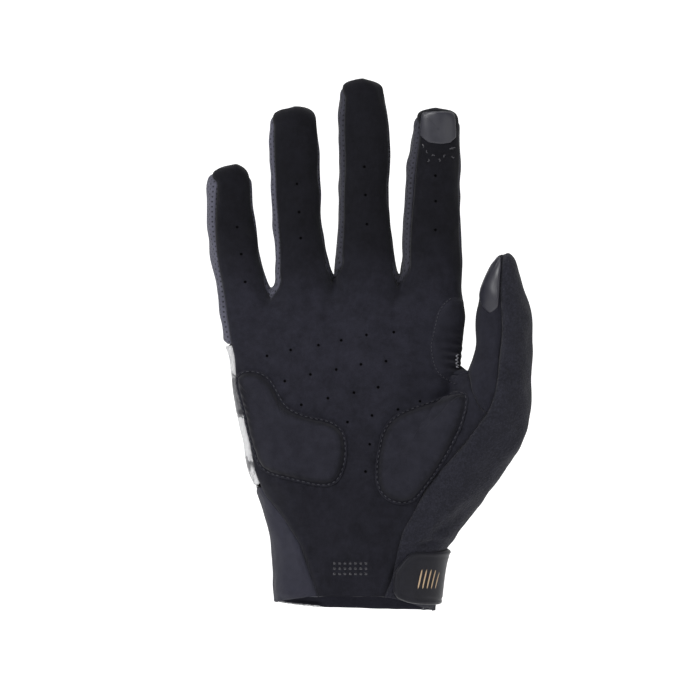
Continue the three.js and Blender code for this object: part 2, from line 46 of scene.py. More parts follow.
# ---- form of the filled glove, in mm ----
# A stack of rounded sections per finger. A row: along from the root (0) to the tip (1), middle and
# half width as shares of the width, front and back as shares of the depth. roof and peak shape the
# flat-topped fingertip: it falls by roof mm per half width away from its highest place, peak.
fingers = {
    "little": {"web": 121.2, "length": 53.6, "width": 19.6, "depth": 18, "rootX": -45, "rootY": 1,
               "curl": 5, "dome": 8.5, "square": 3.4, "roof": 2.0, "peak": 0.35, "rows": [
                   (-0.45, 0.14, 0.48, 0.5, 0.6), (-0.15, 0.11, 0.6, 0.6, 0.66), (0, 0.01, 0.56, 0.58, 0.62),
                   (0.13, -0.09, 0.53, 0.54, 0.56), (0.3, -0.2, 0.5, 0.51, 0.52),
                   (0.48, -0.286, 0.5, 0.5, 0.5), (0.66, -0.337, 0.49, 0.49, 0.48),
                   (0.84, -0.357, 0.46, 0.47, 0.45), (1, -0.33, 0.42, 0.43, 0.41)]},
    "ring": {"web": 125.6, "length": 72, "width": 20, "depth": 19, "rootX": -21.4, "rootY": 0,
             "curl": 6, "dome": 8.5, "square": 4.0, "roof": 1.7, "peak": 0.05, "rows": [
                 (-0.35, 0.05, 0.6, 0.52, 0.64), (-0.12, 0.02, 0.74, 0.62, 0.68), (0, 0, 0.63, 0.6, 0.64),
                 (0.1, -0.05, 0.56, 0.55, 0.57), (0.2, -0.08, 0.51, 0.52, 0.54), (0.37, -0.15, 0.48, 0.5, 0.51),
                 (0.53, -0.19, 0.48, 0.49, 0.49), (0.7, -0.21, 0.5, 0.49, 0.47), (0.867, -0.23, 0.5, 0.48, 0.45),
                 (1, -0.225, 0.45, 0.45, 0.42)]},
    "middle": {"web": 128.4, "length": 80, "width": 20.4, "depth": 19.5, "rootX": 4, "rootY": 0,
               "curl": 6, "dome": 8.0, "square": 5.0, "roof": 1.5, "peak": 0.05, "rows": [
                   (-0.33, 0.02, 0.6, 0.52, 0.64), (-0.12, 0, 0.74, 0.62, 0.68), (0, 0, 0.627, 0.6, 0.64),
                   (0.055, -0.05, 0.6, 0.57, 0.6), (0.145, -0.07, 0.56, 0.54, 0.56), (0.265, -0.08, 0.51, 0.52, 0.53),
                   (0.415, -0.1, 0.49, 0.5, 0.5), (0.595, -0.08, 0.49, 0.49, 0.48), (0.745, -0.1, 0.51, 0.48, 0.46),
                   (0.865, -0.11, 0.475, 0.46, 0.44), (1, -0.118, 0.425, 0.43, 0.4)]},
    "index": {"web": 126.8, "length": 70, "width": 21.6, "depth": 19.5, "rootX": 29.2, "rootY": 0.5,
              "curl": 5, "dome": 8, "square": 5.0, "roof": 1.2, "peak": 0.0, "rows": [
                  (-0.4, -0.04, 0.56, 0.52, 0.6), (-0.12, -0.05, 0.64, 0.6, 0.66), (0, 0, 0.574, 0.58, 0.62),
                  (0.12, 0.02, 0.556, 0.55, 0.57), (0.257, 0.01, 0.546, 0.53, 0.54), (0.394, 0.01, 0.51, 0.51, 0.52),
                  (0.531, 0.037, 0.5, 0.5, 0.5), (0.669, 0.056, 0.5, 0.49, 0.48), (0.806, 0.093, 0.465, 0.48, 0.46),
                  (0.874, 0.1, 0.44, 0.46, 0.44), (1, 0.1, 0.385, 0.43, 0.4)]},
    "thumb": {"web": 92.8, "length": 46, "width": 22.4, "depth": 22, "rootX": 57.4, "rootY": -8,
              "curl": 2, "dome": 7, "square": 2.2, "roof": 0.0, "peak": 0.0, "rows": [
                  (0, 0, 0.5625, 0.66, 0.66), (0.087, 0.036, 0.527, 0.62, 0.62), (0.243, 0.0625, 0.5, 0.56, 0.56),
                  (0.452, 0.054, 0.491, 0.52, 0.5), (0.557, 0.036, 0.455, 0.5, 0.48),
                  (0.66, 0.018, 0.402, 0.46, 0.44), (0.765, 0.02, 0.335, 0.42, 0.4),
                  (0.87, 0.045, 0.262, 0.37, 0.35), (0.94, 0.065, 0.22, 0.34, 0.32),
                  (1, 0.08, 0.19, 0.31, 0.29)]}}

# Hand and cuff. A row: height as a share of the palm's length, then left, right, front and back.
palm = {"length": 122, "width": 98, "depth": 30, "wristWidth": 69, "wristDepth": 48,
        "rows": [
            (0.3, -0.392, 0.4, 0.78, 0.64), (0.42, -0.444, 0.4, 0.72, 0.57), (0.5, -0.465, 0.405, 0.67, 0.54),
            (0.6, -0.496, 0.41, 0.61, 0.52), (0.72, -0.515, 0.42, 0.54, 0.51), (0.833, -0.524, 0.424, 0.49, 0.5),
            (0.911, -0.534, 0.424, 0.45, 0.48), (1.01, -0.55, 0.424, 0.42, 0.44)],
        "cuffRows": [
            (-0.2, -0.49, 0.43, 0.5, 0.5), (0, -0.493, 0.457, 0.5, 0.5), (0.105, -0.498, 0.48, 0.49, 0.48),
            (0.184, -0.498, 0.507, 0.49, 0.46)],
        "ballRows": [
            (0.09, 0.02, 0.33, 0.8, 0.5), (0.184, 0.02, 0.372, 0.82, 0.66), (0.3, 0.04, 0.486, 0.84, 0.73),
            (0.4, 0.09, 0.585, 0.84, 0.74), (0.5, 0.17, 0.665, 0.81, 0.72), (0.6, 0.3, 0.705, 0.75, 0.7),
            (0.68, 0.4, 0.706, 0.69, 0.68)]}
thumbWeb = {"middle": 43.6, "half": 6.0, "front": 8.5, "back": 6.5, "y": -5.0, "top": 91.8, "dome": 5.0}


def fingerStack(finger):
    rows = np.array(finger["rows"], float)
    along = np.clip(rows[:, 0], 0, 1)
    z = finger["web"] + rows[:, 0] * finger["length"]
    return {
        "z": z, "middle": finger["rootX"] + rows[:, 1] * finger["width"],
        "half": rows[:, 2] * finger["width"], "front": rows[:, 3] * finger["depth"],
        "back": rows[:, 4] * finger["depth"], "y": finger["rootY"] - finger["curl"] * along ** 2,
        "top": finger["web"] + finger["length"], "dome": finger["dome"], "square": finger["square"],
        "roof": finger["roof"], "peak": finger["peak"], "low": z[0], "lowDome": 10.0, "round": 2.25,
        "smooth": 3.0}


def palmStack():
    cuff = np.array(palm["cuffRows"], float)
    body = np.array(palm["rows"], float)
    scale = np.concatenate([np.full(len(cuff), palm["wristWidth"]), np.full(len(body), palm["width"])])
    deep = np.concatenate([np.full(len(cuff), palm["wristDepth"]), np.full(len(body), palm["depth"])])
    rows = np.concatenate([cuff, body])
    left, right = rows[:, 1] * scale, rows[:, 2] * scale
    return {"z": rows[:, 0] * palm["length"], "middle": (left + right) / 2, "half": (right - left) / 2,
            "front": rows[:, 3] * deep, "back": rows[:, 4] * deep, "y": 0 * left, "top": 124.0, "dome": 12,
            "square": 2.2, "roof": 0.0, "peak": 0.0, "low": -40.0, "lowDome": 5.0, "round": 2.5, "smooth": 5.0}


def thumbStack():
    thumb = fingers["thumb"]
    top = fingerStack(thumb)
    rows = np.array(palm["ballRows"], float)
    left, right = rows[:, 1] * palm["width"], rows[:, 2] * palm["width"]
    ball = {"z": rows[:, 0] * palm["length"], "middle": (left + right) / 2, "half": (right - left) / 2,
            "front": rows[:, 3] * thumb["depth"], "back": rows[:, 4] * thumb["depth"],
            "y": thumb["rootY"] * rows[:, 0] / rows[-1, 0]}
    joined = {key: np.concatenate([ball[key], top[key]]) for key in ball}
    return {**top, **joined, "low": ball["z"][0], "lowDome": 14.0, "smooth": 4.0}


# Skin between thumb and palm, which rounds the bottom of that gap
def webStack():
    even = {key: np.full(3, thumbWeb[key]) for key in ("middle", "half", "front", "back", "y")}
    return {**even, "z": np.array([60.0, 80.0, 95.0]), "top": thumbWeb["top"], "dome": thumbWeb["dome"],
            "square": 2.0, "roof": 0.0, "peak": 0.0, "low": 62.0, "lowDome": 8.0, "round": 2.2, "smooth": 3.0}


# A stack's sections as curves over the height: straight between the rows, then a running mean
def smoothed(stack):
    fine = np.arange(stack["z"].min() - 30, stack["z"].max() + 30, 0.5)
    reach = int(stack["smooth"] * 4)
    window = np.exp(-0.5 * (np.arange(-reach, reach + 1) * 0.5 / stack["smooth"]) ** 2)
    window /= window.sum()
    curves = {"fine": fine}
    for key in ("middle", "half", "front", "back", "y"):
        straight = np.pad(np.interp(fine, stack["z"], stack[key]), reach, mode="edge")
        curves[key] = np.convolve(straight, window, mode="valid")
    return {**stack, **curves}


stacks = {"palm": smoothed(palmStack()), "thumb": smoothed(thumbStack()), "thumbWeb": smoothed(webStack())}
fingerNames = ["little", "ring", "middle", "index"]
for name in fingerNames:
    stacks[name] = smoothed(fingerStack(fingers[name]))


def sectionOf(name, z):
    s = stacks[name]
    return [np.interp(z, s["fine"], s[key]) for key in ("middle", "half", "front", "back", "y")]


# Middle and centre of a stack over the height
def axisOf(name, z):
    middle, half, front, back, centre = sectionOf(name, z)
    return middle, centre


# Rounded distance to a stack: ((|u|^p + |v|^p)^(n/p) + above^n)^(1/n) - 1, times the half depth
def stackField(name, x, y, z):
    s = stacks[name]
    middle, half, front, back, centre = sectionOf(name, z)
    depth = np.where(y < centre, front, back)
    p, n = s["round"], s["square"]
    u = (x - middle) / half
    flat = np.abs(u) ** p + np.abs((y - centre) / depth) ** p
    roof = s["roof"] * np.abs(u - s["peak"])
    above = np.clip((z + roof - (s["top"] - s["dome"])) / s["dome"], 0, None)
    below = np.clip((s["low"] + s["lowDome"] - z) / s["lowDome"], 0, None)
    rho = (flat ** (n / p) + above ** n + below ** n) ** (1 / n)
    return (rho - 1) * np.minimum(half, depth)


# Smooth union of all stacks: minus k times the log of the summed exponentials
def formField(x, y, z, k=0.8):
    total = 0
    for name in stacks:
        total = total + np.exp(-np.clip(stackField(name, x, y, z), -25, 40) / k)
    return -k * np.log(total)


# Rays from inside to the surface, with steps as long as the field allows
def castRays(start, aim, k=0.8):
    travelled = np.zeros(start.shape[:-1])
    for step in range(40):
        at = start + aim * travelled[..., None]
        travelled += np.clip(-0.9 * formField(at[..., 0], at[..., 1], at[..., 2], k), -1.2, 2.0)
    return start + aim * travelled[..., None]


# Normals from the slope of the field
def formNormals(points, h=0.3):
    slopes = []
    for axis in range(3):
        shift = np.zeros(3)
        shift[axis] = h
        slopes.append(formField(*np.moveaxis(points + shift, -1, 0)) - formField(*np.moveaxis(points - shift, -1, 0)))
    normals = np.stack(slopes, -1)
    return normals / np.linalg.norm(normals, axis=-1, keepdims=True)


def smoothStep(low, high, value):
    t = np.clip((value - low) / (high - low), 0, 1)
    return t * t * (3 - 2 * t)


# Front surface of the form over places (x, z)
def frontPoints(x, z, k=0.8):
    start = np.stack([x, 0 * x - 1.0, z], -1)
    return castRays(start, np.broadcast_to([0.0, -1.0, 0.0], start.shape), k)


# ---- folds ----
# Bent creases of the front: three places (x, z), depth and width in mm. The cloth dips along the
# curve by depth * exp(-(d / width)^2) and swells a little beside it.
creases = [
    (34.8, 86, 22, 89, 7, 87.5, 0.75, 2.6), (37, 82.5, 26, 82, 14, 78.5, 0.5, 2.2),
    (40.5, 101, 30, 101, 21, 106, 0.5, 2.4), (16.6, 125, 16.5, 116, 12.5, 106, 0.6, 2.6),
    (-10, 127, -9.5, 119, -11, 110, 0.55, 2.4), (-34.5, 120, -33, 113, -29, 105, 0.6, 2.6),
    (59.2, 94.8, 62, 90.4, 63.6, 86.4, 1.25, 1.6), (55.8, 92, 60, 88, 61, 83, 0.8, 1.6),
    (36, 31, 33, 27, 27, 24, 1.1, 2.2), (35, 23.5, 28, 22.4, 22.4, 21.5, 1.0, 1.4),
    (46, 37, 42, 33, 34, 31, 0.7, 3.0), (1.5, 40, 1, 28, 1.5, 16, 0.3, 2.0),
    (26.8, 144, 32.8, 138, 35.6, 128, 0.5, 2.6), (23, 152, 29, 146, 32, 138, 0.35, 2.6),
    (45, 82.5, 50, 83.5, 52.5, 89.5, 0.45, 1.8), (47.5, 97, 52, 94, 55, 96, 0.4, 2.0),
    (-49, 152, -44, 150, -41, 146, 0.4, 2.2), (-30, 168, -25, 166, -19, 168, 0.35, 2.4),
    (-4, 176, 2, 173.5, 8, 176, 0.35, 2.4), (-33, 35, -29, 28, -26, 16, 0.4, 2.4),
    (62, 70, 57, 62, 51, 57, 0.5, 3.4), (66, 112, 63, 108, 60, 107, 0.4, 2.2),
    (24, 168, 29, 165, 36, 167, 0.35, 2.2), (-6, 100, 4, 96, 12, 99, 0.35, 3.2)]


def creaseLift(points, facing):
    t = np.linspace(0, 1, 25)[:, None]
    total = np.zeros(len(points))
    for x0, z0, x1, z1, x2, z2, depth, width in creases:
        curve = ((1 - t) ** 2 * np.array([x0, z0]) + 2 * t * (1 - t) * np.array([x1, z1])
                 + t ** 2 * np.array([x2, z2]))
        gaps = ((points[:, None, ::2] - curve[None]) ** 2).sum(-1)
        far = np.sqrt(gaps.min(1))
        fade = np.sin(np.pi * np.clip(gaps.argmin(1) / 24, 0.06, 0.94)) ** 0.7
        dip = -np.exp(-(far / width) ** 2) + 0.5 * np.exp(-((far - 1.9 * width) / width) ** 2)
        total += depth * fade * dip
    return total * smoothStep(0.15, 0.5, facing)


# Soft unevenness: seeded sum of cosine waves of one length in all directions
def waves(points, length, seed, count=22):
    rng = np.random.default_rng(seed)
    ways = rng.normal(size=(count, 3))
    ways /= np.linalg.norm(ways, axis=1, keepdims=True)
    stretch = rng.uniform(0.75, 1.35, count)
    phase = rng.uniform(0, 2 * np.pi, count)
    return np.cos(points @ (ways * (2 * np.pi / (length * stretch))[:, None]).T + phase).sum(1) / math.sqrt(count / 2)


# What all cloth of the shell shares, so that neighbours meet: waves of two lengths and the creases
softness = {"long": 19.0, "longHeight": 0.26, "short": 7.0, "shortHeight": 0.09}


def shellLift(points, normals):
    return (softness["longHeight"] * waves(points, softness["long"], 11)
            + softness["shortHeight"] * waves(points, softness["short"], 12)
            + creaseLift(points, -normals[:, 1]))


# Normals and shared unevenness of a grid of surface points
def cover(surface):
    flat = surface.reshape(-1, 3)
    normals = formNormals(flat)
    return normals.reshape(surface.shape), shellLift(flat, normals).reshape(surface.shape[:-1])


# ---- seams ----
# Places where panels meet. A guide line has for each of its rows a start inside the glove (x, y, z),
# a turn about Z in degrees (270 is out of the palm, 90 the back) and a tilt up at the fingertips.
def onRow(z):
    return round(z / rowStep) * rowStep


fingerSeams = {"little": (238, 214), "ring": (213, 213), "middle": (219, 215), "index": (224, 218)}
seams = {"frontLeft": 218, "narrow": 14, "frontRight": 349, "backLeft": 155, "backRight": 25,
         "webs": [onRow(120.6), onRow(128.1), onRow(126.2)], "webX": (-35.0, -10.0, 16.5),
         "hemX": (-8.0, -1.0, 7.0), "crotch": onRow(91.0), "crotchY": -5.0, "thumbMeet": onRow(75.0),
         "wrapTop": 102.0, "wrapLow": onRow(45.5), "blend": 11.0, "sideReach": 12.0, "joinTop": onRow(132.0)}
wristSeam = np.array([(-16, 0), (-18.4, 8), (-23.2, 22), (-31.2, 34), (-40.8, 45.4)], float)
palmThumbSeam = np.array([
    (10.8, 0), (11.6, 2.7), (13.9, 9), (16.4, 21.3), (18.3, 28), (22.7, 35.9), (27.9, 46.3), (36.6, 55.8),
    (42.6, 62.5), (48.5, 70.4), (51.8, 75)], float)
crotchSeam = np.array([(51.8, 75), (49.6, 76.3), (47.8, 78.8), (46, 82.2), (45, 84.4), (43.6, 91)], float)
thumbFrontSeam = np.array([(51.8, 75), (53.6, 79.1), (54.9, 83.7), (56, 90.8), (56.6, 100), (57.6, 108)], float)
thumbBackSeam = np.array([(27.0, -4), (28.5, 18), (37, 46), (42, 73), (43.6, 91)], float)
hemFront = np.array([
    (-34.5, -0.4), (-30.4, -1.0), (-16.3, 1.8), (-9.2, 1.6), (8.8, 1.7), (11, 1.5), (16.4, -0.6), (22.3, -3.2),
    (30.2, -4.2)], float)
hemBack = np.array([(-34.5, -0.4), (-29.6, -1.0), (-14, -3.5), (16.8, -4.4), (30.2, -4.5)], float)

lowRows = np.arange(0, seams["joinTop"] + 0.01, rowStep)


def fingerRows(name):
    base = stacks[name]["top"] - stacks[name]["dome"]
    high = np.linspace(seams["joinTop"], base, int((base - seams["joinTop"]) / rowStep) + 2)[1:]
    tilt = np.linspace(0, 90, 20)[1:]
    return (np.concatenate([lowRows, high, np.full(len(tilt), base)]),
            np.concatenate([np.zeros(len(lowRows) + len(high)), tilt]))


def line(x, y, z, turn, tilt):
    parts = np.broadcast_arrays(x, y, z, turn, tilt)
    return np.stack([np.asarray(part, float) for part in parts], -1)


def mixLines(a, b, weight):
    return a + (b - a) * np.asarray(weight)[..., None]


# Line along a finger, from its middle outwards, which closes to the tip seam in the dome
def fingerLine(name, turn, closed):
    z, tilt = fingerRows(name)
    middle, centre = axisOf(name, z)
    base = stacks[name]["top"] - stacks[name]["dome"]
    opened = 1 - smoothStep(0, 40, tilt) * smoothStep(-10, 4, z - base)
    return line(middle, centre, z, closed + (turn - closed) * opened, tilt)


# Share of the way from the thumb crotch to a finger's own line, quick at first
def leaving(z, reach=2.0):
    return 1 - np.exp(-np.clip(z - seams["crotch"], 0, None) / reach)


# Lines of the hand: 0 is its left edge, 1 to 3 run down from the webs, 4 is the thumb's side
def palmLine(index, z, side):
    middle, half = sectionOf("palm", z)[:2]
    if 1 <= index <= 3:
        x = np.interp(z, [0, seams["webs"][index - 1]], [seams["hemX"][index - 1], seams["webX"][index - 1]])
        return line(x, 0, z, 270 if side == "front" else 90, 0)
    if index == 0:
        inside = middle - half + seams["sideReach"]
        edge = seams["frontLeft"] - seams["narrow"] * smoothStep(80, 90, z)
        if side == "front":
            low = smoothStep(50, 38, z)
            x = inside + (np.interp(z, wristSeam[:, 1], wristSeam[:, 0]) - inside) * low
            return line(x, 0, z, edge + (270 - edge) * low, 0)
        turn = np.where(z > seams["wrapTop"], seams["backLeft"], np.where(z > seams["wrapLow"], edge, 165))
        return line(inside, 0, z, turn, 0)
    inside = middle + half - seams["sideReach"]
    high = leaving(z)
    y = seams["crotchY"] * smoothStep(60, seams["crotch"], z) * (1 - high)
    if side == "front":
        low = np.where(z > seams["thumbMeet"], np.interp(z, crotchSeam[:, 1], crotchSeam[:, 0]),
                       np.interp(z, palmThumbSeam[:, 1], palmThumbSeam[:, 0]))
        return line(low + (inside - low) * high, y, z, 270 + (seams["frontRight"] - 270) * high, 0)
    low = np.interp(z, thumbBackSeam[:, 1], thumbBackSeam[:, 0])
    return line(low + (inside - low) * high, y, z, 90 + (seams["backRight"] - 90) * high, 0)


# Line between the strips of two neighbours: in the palm one line, above the web one per finger
def borderLine(name, index, side):
    z, tilt = fingerRows(name)
    isLeft = index == fingerNames.index(name)
    if side == "front":
        high, root = fingerSeams[name]
        left = root + (high - root) * smoothStep(seams["joinTop"], stacks[name]["top"] - 8, z)
        turn, closed = (left, 180) if isLeft else (seams["frontRight"], 360)
    else:
        turn, closed = (seams["backLeft"], 180) if isLeft else (seams["backRight"], 0)
    low = palmLine(index, np.minimum(z, seams["joinTop"]), side)
    low[:, 2] = z
    web = seams["webs"][index - 1] if 1 <= index <= 3 else 106.0
    return mixLines(low, fingerLine(name, turn, closed), smoothStep(web, web + seams["blend"], z))


def directionsOf(lines):
    turn, tilt = np.radians(lines[..., 3]), np.radians(lines[..., 4])
    return np.stack([np.cos(turn) * np.cos(tilt), np.sin(turn) * np.cos(tilt), np.sin(tilt)], -1)


def rays(lines):
    return lines[..., :3], directionsOf(lines)


# The lowest rows follow the hem.
def hemmed(lines, hem, fade=14.0):
    x = lines[..., 0] + seams["sideReach"] * np.cos(np.radians(lines[..., 3]))
    lines[..., 2] += np.interp(x, hem[:, 0], hem[:, 1]) * np.clip(1 - lines[..., 2] / fade, 0, 1)
    return lines


# Grid between two guide lines: starts and turns run evenly from one to the other
def spread(a, b, columns):
    return a[:, None, :] + (b - a)[:, None, :] * np.linspace(0, 1, columns)[None, :, None]


# Ribbon between a front and a back line: its rays lean outwards in between
def ribbonRays(front, back, outward, columns):
    share = np.linspace(0, 1, columns)[None, :, None]
    start = front[:, None, :3] * (1 - share) + back[:, None, :3] * share
    aim = (directionsOf(front)[:, None] * (1 - share) + directionsOf(back)[:, None] * share
           + 3.6 * share * (1 - share) * outward[:, None])
    return start, aim / np.linalg.norm(aim, axis=-1, keepdims=True)


# ---- meshes ----
# Grids of points as one list of points and one of quads
def joinGrids(grids):
    points, faces, count = [], [], 0
    for grid in grids:
        rows, columns = grid.shape[:2]
        index = np.arange(rows * columns).reshape(rows, columns) + count
        faces.append(np.stack([index[:-1, :-1], index[:-1, 1:], index[1:, 1:], index[1:, :-1]], -1).reshape(-1, 4))
        points.append(grid.reshape(-1, grid.shape[-1]))
        count += rows * columns
    return np.concatenate(points), np.concatenate(faces)


# Grid points that lie in one place become one point
def welded(points, faces, reach=0.02):
    keys = np.round(points[:, :3] / reach).astype(np.int64)
    unique, first, inverse = np.unique(keys, axis=0, return_index=True, return_inverse=True)
    return points[first], inverse.reshape(-1)[faces]


# Quads with two equal corners become triangles, and those with fewer corners go.
def buildMesh(name, points, faces, pattern=None):
    same = faces == np.roll(faces, -1, axis=1)
    whole = faces[same.sum(1) == 0]
    thin = same.sum(1) == 1
    mesh = bpy.data.meshes.new(name)
    mesh.from_pydata((points * mm).tolist(), [], whole.tolist() + faces[thin][~same[thin]].reshape(-1, 3).tolist())
    if pattern is not None:
        layer = mesh.uv_layers.new(name="Pattern")
        corners = np.empty(len(mesh.loops), np.int32)
        mesh.loops.foreach_get("vertex_index", corners)
        layer.data.foreach_set("uv", pattern[corners].astype(np.float32).ravel())
    mesh.polygons.foreach_set("use_smooth", np.ones(len(mesh.polygons), bool))
    mesh.validate()
    mesh.update()
    piece = bpy.data.objects.new(name, mesh)
    bpy.context.collection.objects.link(piece)
    return piece


# Faces are turned so that they point the way the surface does.
def orient(points, faces, normals):
    corner = points[faces]
    facing = np.cross(corner[:, 2] - corner[:, 0], corner[:, 3] - corner[:, 1])
    inward = (facing * normals[faces[:, 0]]).sum(1) < 0
    faces[inward] = faces[inward][:, ::-1]
    return faces


def borderPoints(faces):
    edges = np.concatenate([faces[:, [0, 1]], faces[:, [1, 2]], faces[:, [2, 3]], faces[:, [3, 0]]])
    edges = np.sort(edges[edges[:, 0] != edges[:, 1]], axis=1)
    unique, times = np.unique(edges, axis=0, return_counts=True)
    return np.unique(unique[times == 1])


# Distance of each point to the nearest of the others, in blocks
def nearestGap(points, others):
    nearest = np.empty(len(points))
    for start in range(0, len(points), 3000):
        gaps = ((points[start:start + 3000, None] - others[None]) ** 2).sum(-1)
        nearest[start:start + 3000] = np.sqrt(gaps.min(1))
    return nearest


def atHem(points):
    front = np.abs(points[:, 2] - np.interp(points[:, 0], hemFront[:, 0], hemFront[:, 1]))
    back = np.abs(points[:, 2] - np.interp(points[:, 0], hemBack[:, 0], hemBack[:, 1]))
    return np.minimum(front, back) < 0.35


def finished(piece, node, materials):
    for material in materials:
        piece.data.materials.append(material)
    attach(piece, "root")
    if node:
        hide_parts(node)
    return piece


wall = {"tuck": 0.85, "reach": 1.0, "welt": 0.14, "thickness": 1.0}


# A panel of cloth: rays cast to the form, seam edges tucked in by tuck * exp(-(d / reach)^1.6), a
# welt beside them, the shared unevenness, and a wall with a dark inner face.
def makePanel(name, raySets, material, relief=None, pattern=None):
    grids = [castRays(start, aim) for start, aim in raySets]
    if pattern is None:
        grids = [np.concatenate([grid, grid[..., [0, 2]]], -1) for grid in grids]
    else:
        grids = [np.concatenate([grid, pattern(grid)], -1) for grid in grids]
    joined, faces = welded(*joinGrids(grids))
    points, plan = joined[:, :3], joined[:, 3:]
    normals = formNormals(points)
    edge = borderPoints(faces)
    seam = edge[~atHem(points[edge])]
    distance = nearestGap(points, points[seam])
    reach = wall["reach"]
    lift = (-wall["tuck"] * np.exp(-(distance / reach) ** 1.6)
            + wall["welt"] * np.exp(-((distance - 2.2 * reach) / reach) ** 2))
    lift += shellLift(points, normals) * smoothStep(0, 2.0, distance)
    if relief is not None:
        lift += relief(points, normals, distance)
    shaped = points + normals * lift[:, None]
    piece = buildMesh(name + "_cloth", shaped, orient(points, faces, normals), plan)
    solid = piece.modifiers.new("Wall", "SOLIDIFY")
    solid.thickness = wall["thickness"] * mm
    solid.offset = -1
    solid.material_offset = 1
    solid.material_offset_rim = 0
    finished(piece, name, [material, lining])
    print("panel", name, len(points), "points")
    return piece


# Length along a ribbon's rows and across its columns, in mm
def ribbonPattern(grid):
    across = np.linalg.norm(np.diff(grid, axis=1), axis=-1)
    along = np.linalg.norm(np.diff(grid, axis=0), axis=-1)
    u = np.concatenate([np.zeros((grid.shape[0], 1)), np.cumsum(across, 1)], 1)
    v = np.concatenate([[0], np.cumsum(along.mean(1))])
    return np.stack([u - u[:, -1:] / 2, np.broadcast_to(v[:, None], u.shape)], -1)


# ---- pads and patches ----
# Distance of a grid's points to its four edges
def edgeGap(face):
    rim = np.concatenate([face[0], face[-1], face[:, 0], face[:, -1]])
    return nearestGap(face.reshape(-1, 3), rim).reshape(face.shape[:2])


# Directions level with the ground, by their turn in radians
def flatAim(turn):
    return np.stack([np.cos(turn), np.sin(turn), 0 * turn], -1)


# Directions out of the front whose sideways part is the place across the finger, -1 to 1
def leaning(x, middle, half, most):
    lean = np.clip((x - middle) / half, -most, most)
    return np.stack([lean, -np.sqrt(1 - lean ** 2), 0 * lean], -1)


# Closed outlines on the front of the hand, as (x, z) in mm, along their stitch lines
padOuterLine = np.array([
    (-48.9, 89.2), (-45.8, 91.4), (-41.5, 91.6), (-37.2, 90.1), (-34.1, 86.6), (-31.5, 81.4), (-28.5, 76.6),
    (-24.2, 74.4), (-19.0, 72.7), (-12.9, 71.8), (-8.5, 70.1), (-5.9, 67.1), (-4.9, 61.0), (-5.5, 54.9),
    (-7.7, 48.4), (-11.1, 46.0), (-17.2, 46.2), (-24.2, 48.0), (-31.1, 49.7), (-36.3, 51.0), (-39.3, 53.6),
    (-41.5, 59.3), (-43.7, 67.9), (-45.4, 75.8), (-47.2, 81.8)])
padThumbLine = np.array([
    (43.6, 82.6), (43.7, 80.8), (43.0, 76.5), (41.5, 71.2), (39.8, 67.1), (36.8, 61.0), (30.5, 50.6),
    (26.1, 44.6), (22.2, 39.8), (17.5, 38.6), (13.1, 39.8), (9.2, 42.8), (7.5, 47.2), (7.5, 53.2),
    (8.6, 60.2), (10.1, 67.1), (13.1, 71.9), (18.3, 75.3), (25.6, 77.9), (33.5, 80.6), (37.8, 82.3), (41.6, 83.2)])
patchLine = np.array([
    (41.1, 85.7), (38.8, 86.8), (36.5, 87.5), (33.7, 89.0), (31.7, 91.1), (30.2, 94.4), (29.3, 99.2),
    (29.4, 102.6), (30.5, 107.8), (31.8, 113.9), (34.4, 118.7), (37.6, 121.2)])
indexPatchLine = np.array([
    (25.3, 195.2), (25.1, 190.4), (24.8, 186.2), (26.4, 184.4), (28.3, 183.0), (33.5, 182.4), (36.9, 182.9),
    (39.1, 185.2), (39.2, 187.2), (38.8, 190.0), (38.6, 195.0), (34.5, 195.4), (29.5, 195.4)])
thumbPatchLine = np.array([
    (250, 137.2), (260, 134), (262, 124), (258, 117), (240, 114.5), (215, 118), (195, 121), (190, 128),
    (200, 134), (225, 137)], float)
pad = {"rise": 2.4, "shoulder": 3.6, "valley": -0.75, "valleyWidth": 0.7, "rim": 0.5, "outside": 0.75,
       "evenness": 3.0, "pucker": 0.2, "puckerPitch": 4.4, "stitchPitch": 2.07, "stitchLength": 1.3,
       "stitchLift": 0.22, "stitchRadius": 0.2, "step": 0.62, "rings": 34, "fill": 0.7}


# Points at even distances along a line, rounded by a periodic or open running mean
def evened(points, step, closed=True, soften=2.0):
    path = np.concatenate([points, points[:1]]) if closed else points
    length = np.concatenate([[0], np.cumsum(np.linalg.norm(np.diff(path, axis=0), axis=1))])
    count = max(int(round(length[-1] / step)), 4)
    at = np.linspace(0, length[-1], count + 1)
    even = np.stack([np.interp(at, length, path[:, axis]) for axis in range(path.shape[1])], -1)
    if closed:
        even = even[:-1]
    reach = int(3 * soften / step) + 1
    window = np.exp(-0.5 * (np.arange(-reach, reach + 1) * step / soften) ** 2)
    window /= window.sum()
    ends = {"mode": "wrap"} if closed else {"mode": "reflect", "reflect_type": "odd"}
    padded = np.pad(even, ((reach, reach), (0, 0)), **ends)
    return np.stack([np.convolve(padded[:, axis], window, mode="valid") for axis in range(path.shape[1])], -1)


# Fan over a closed outline: point = centre + share * (outline - centre), grown by mm at its rim
def fanPlaces(outline, centre, grow, rings):
    rim = outline - centre
    rim = rim * (1 + grow / np.linalg.norm(rim, axis=1, keepdims=True))
    share = 1 - (1 - np.linspace(0, 1, rings)) ** 1.7
    places = centre + share[:, None, None] * rim[None]
    return np.concatenate([places, places[:, :1]], 1)


# Faces of a closed piece are turned outwards.
def outward(piece):
    shape = bmesh.new()
    shape.from_mesh(piece.data)
    bmesh.ops.recalc_face_normals(shape, faces=shape.faces)
    shape.to_mesh(piece.data)
    shape.free()
    return piece


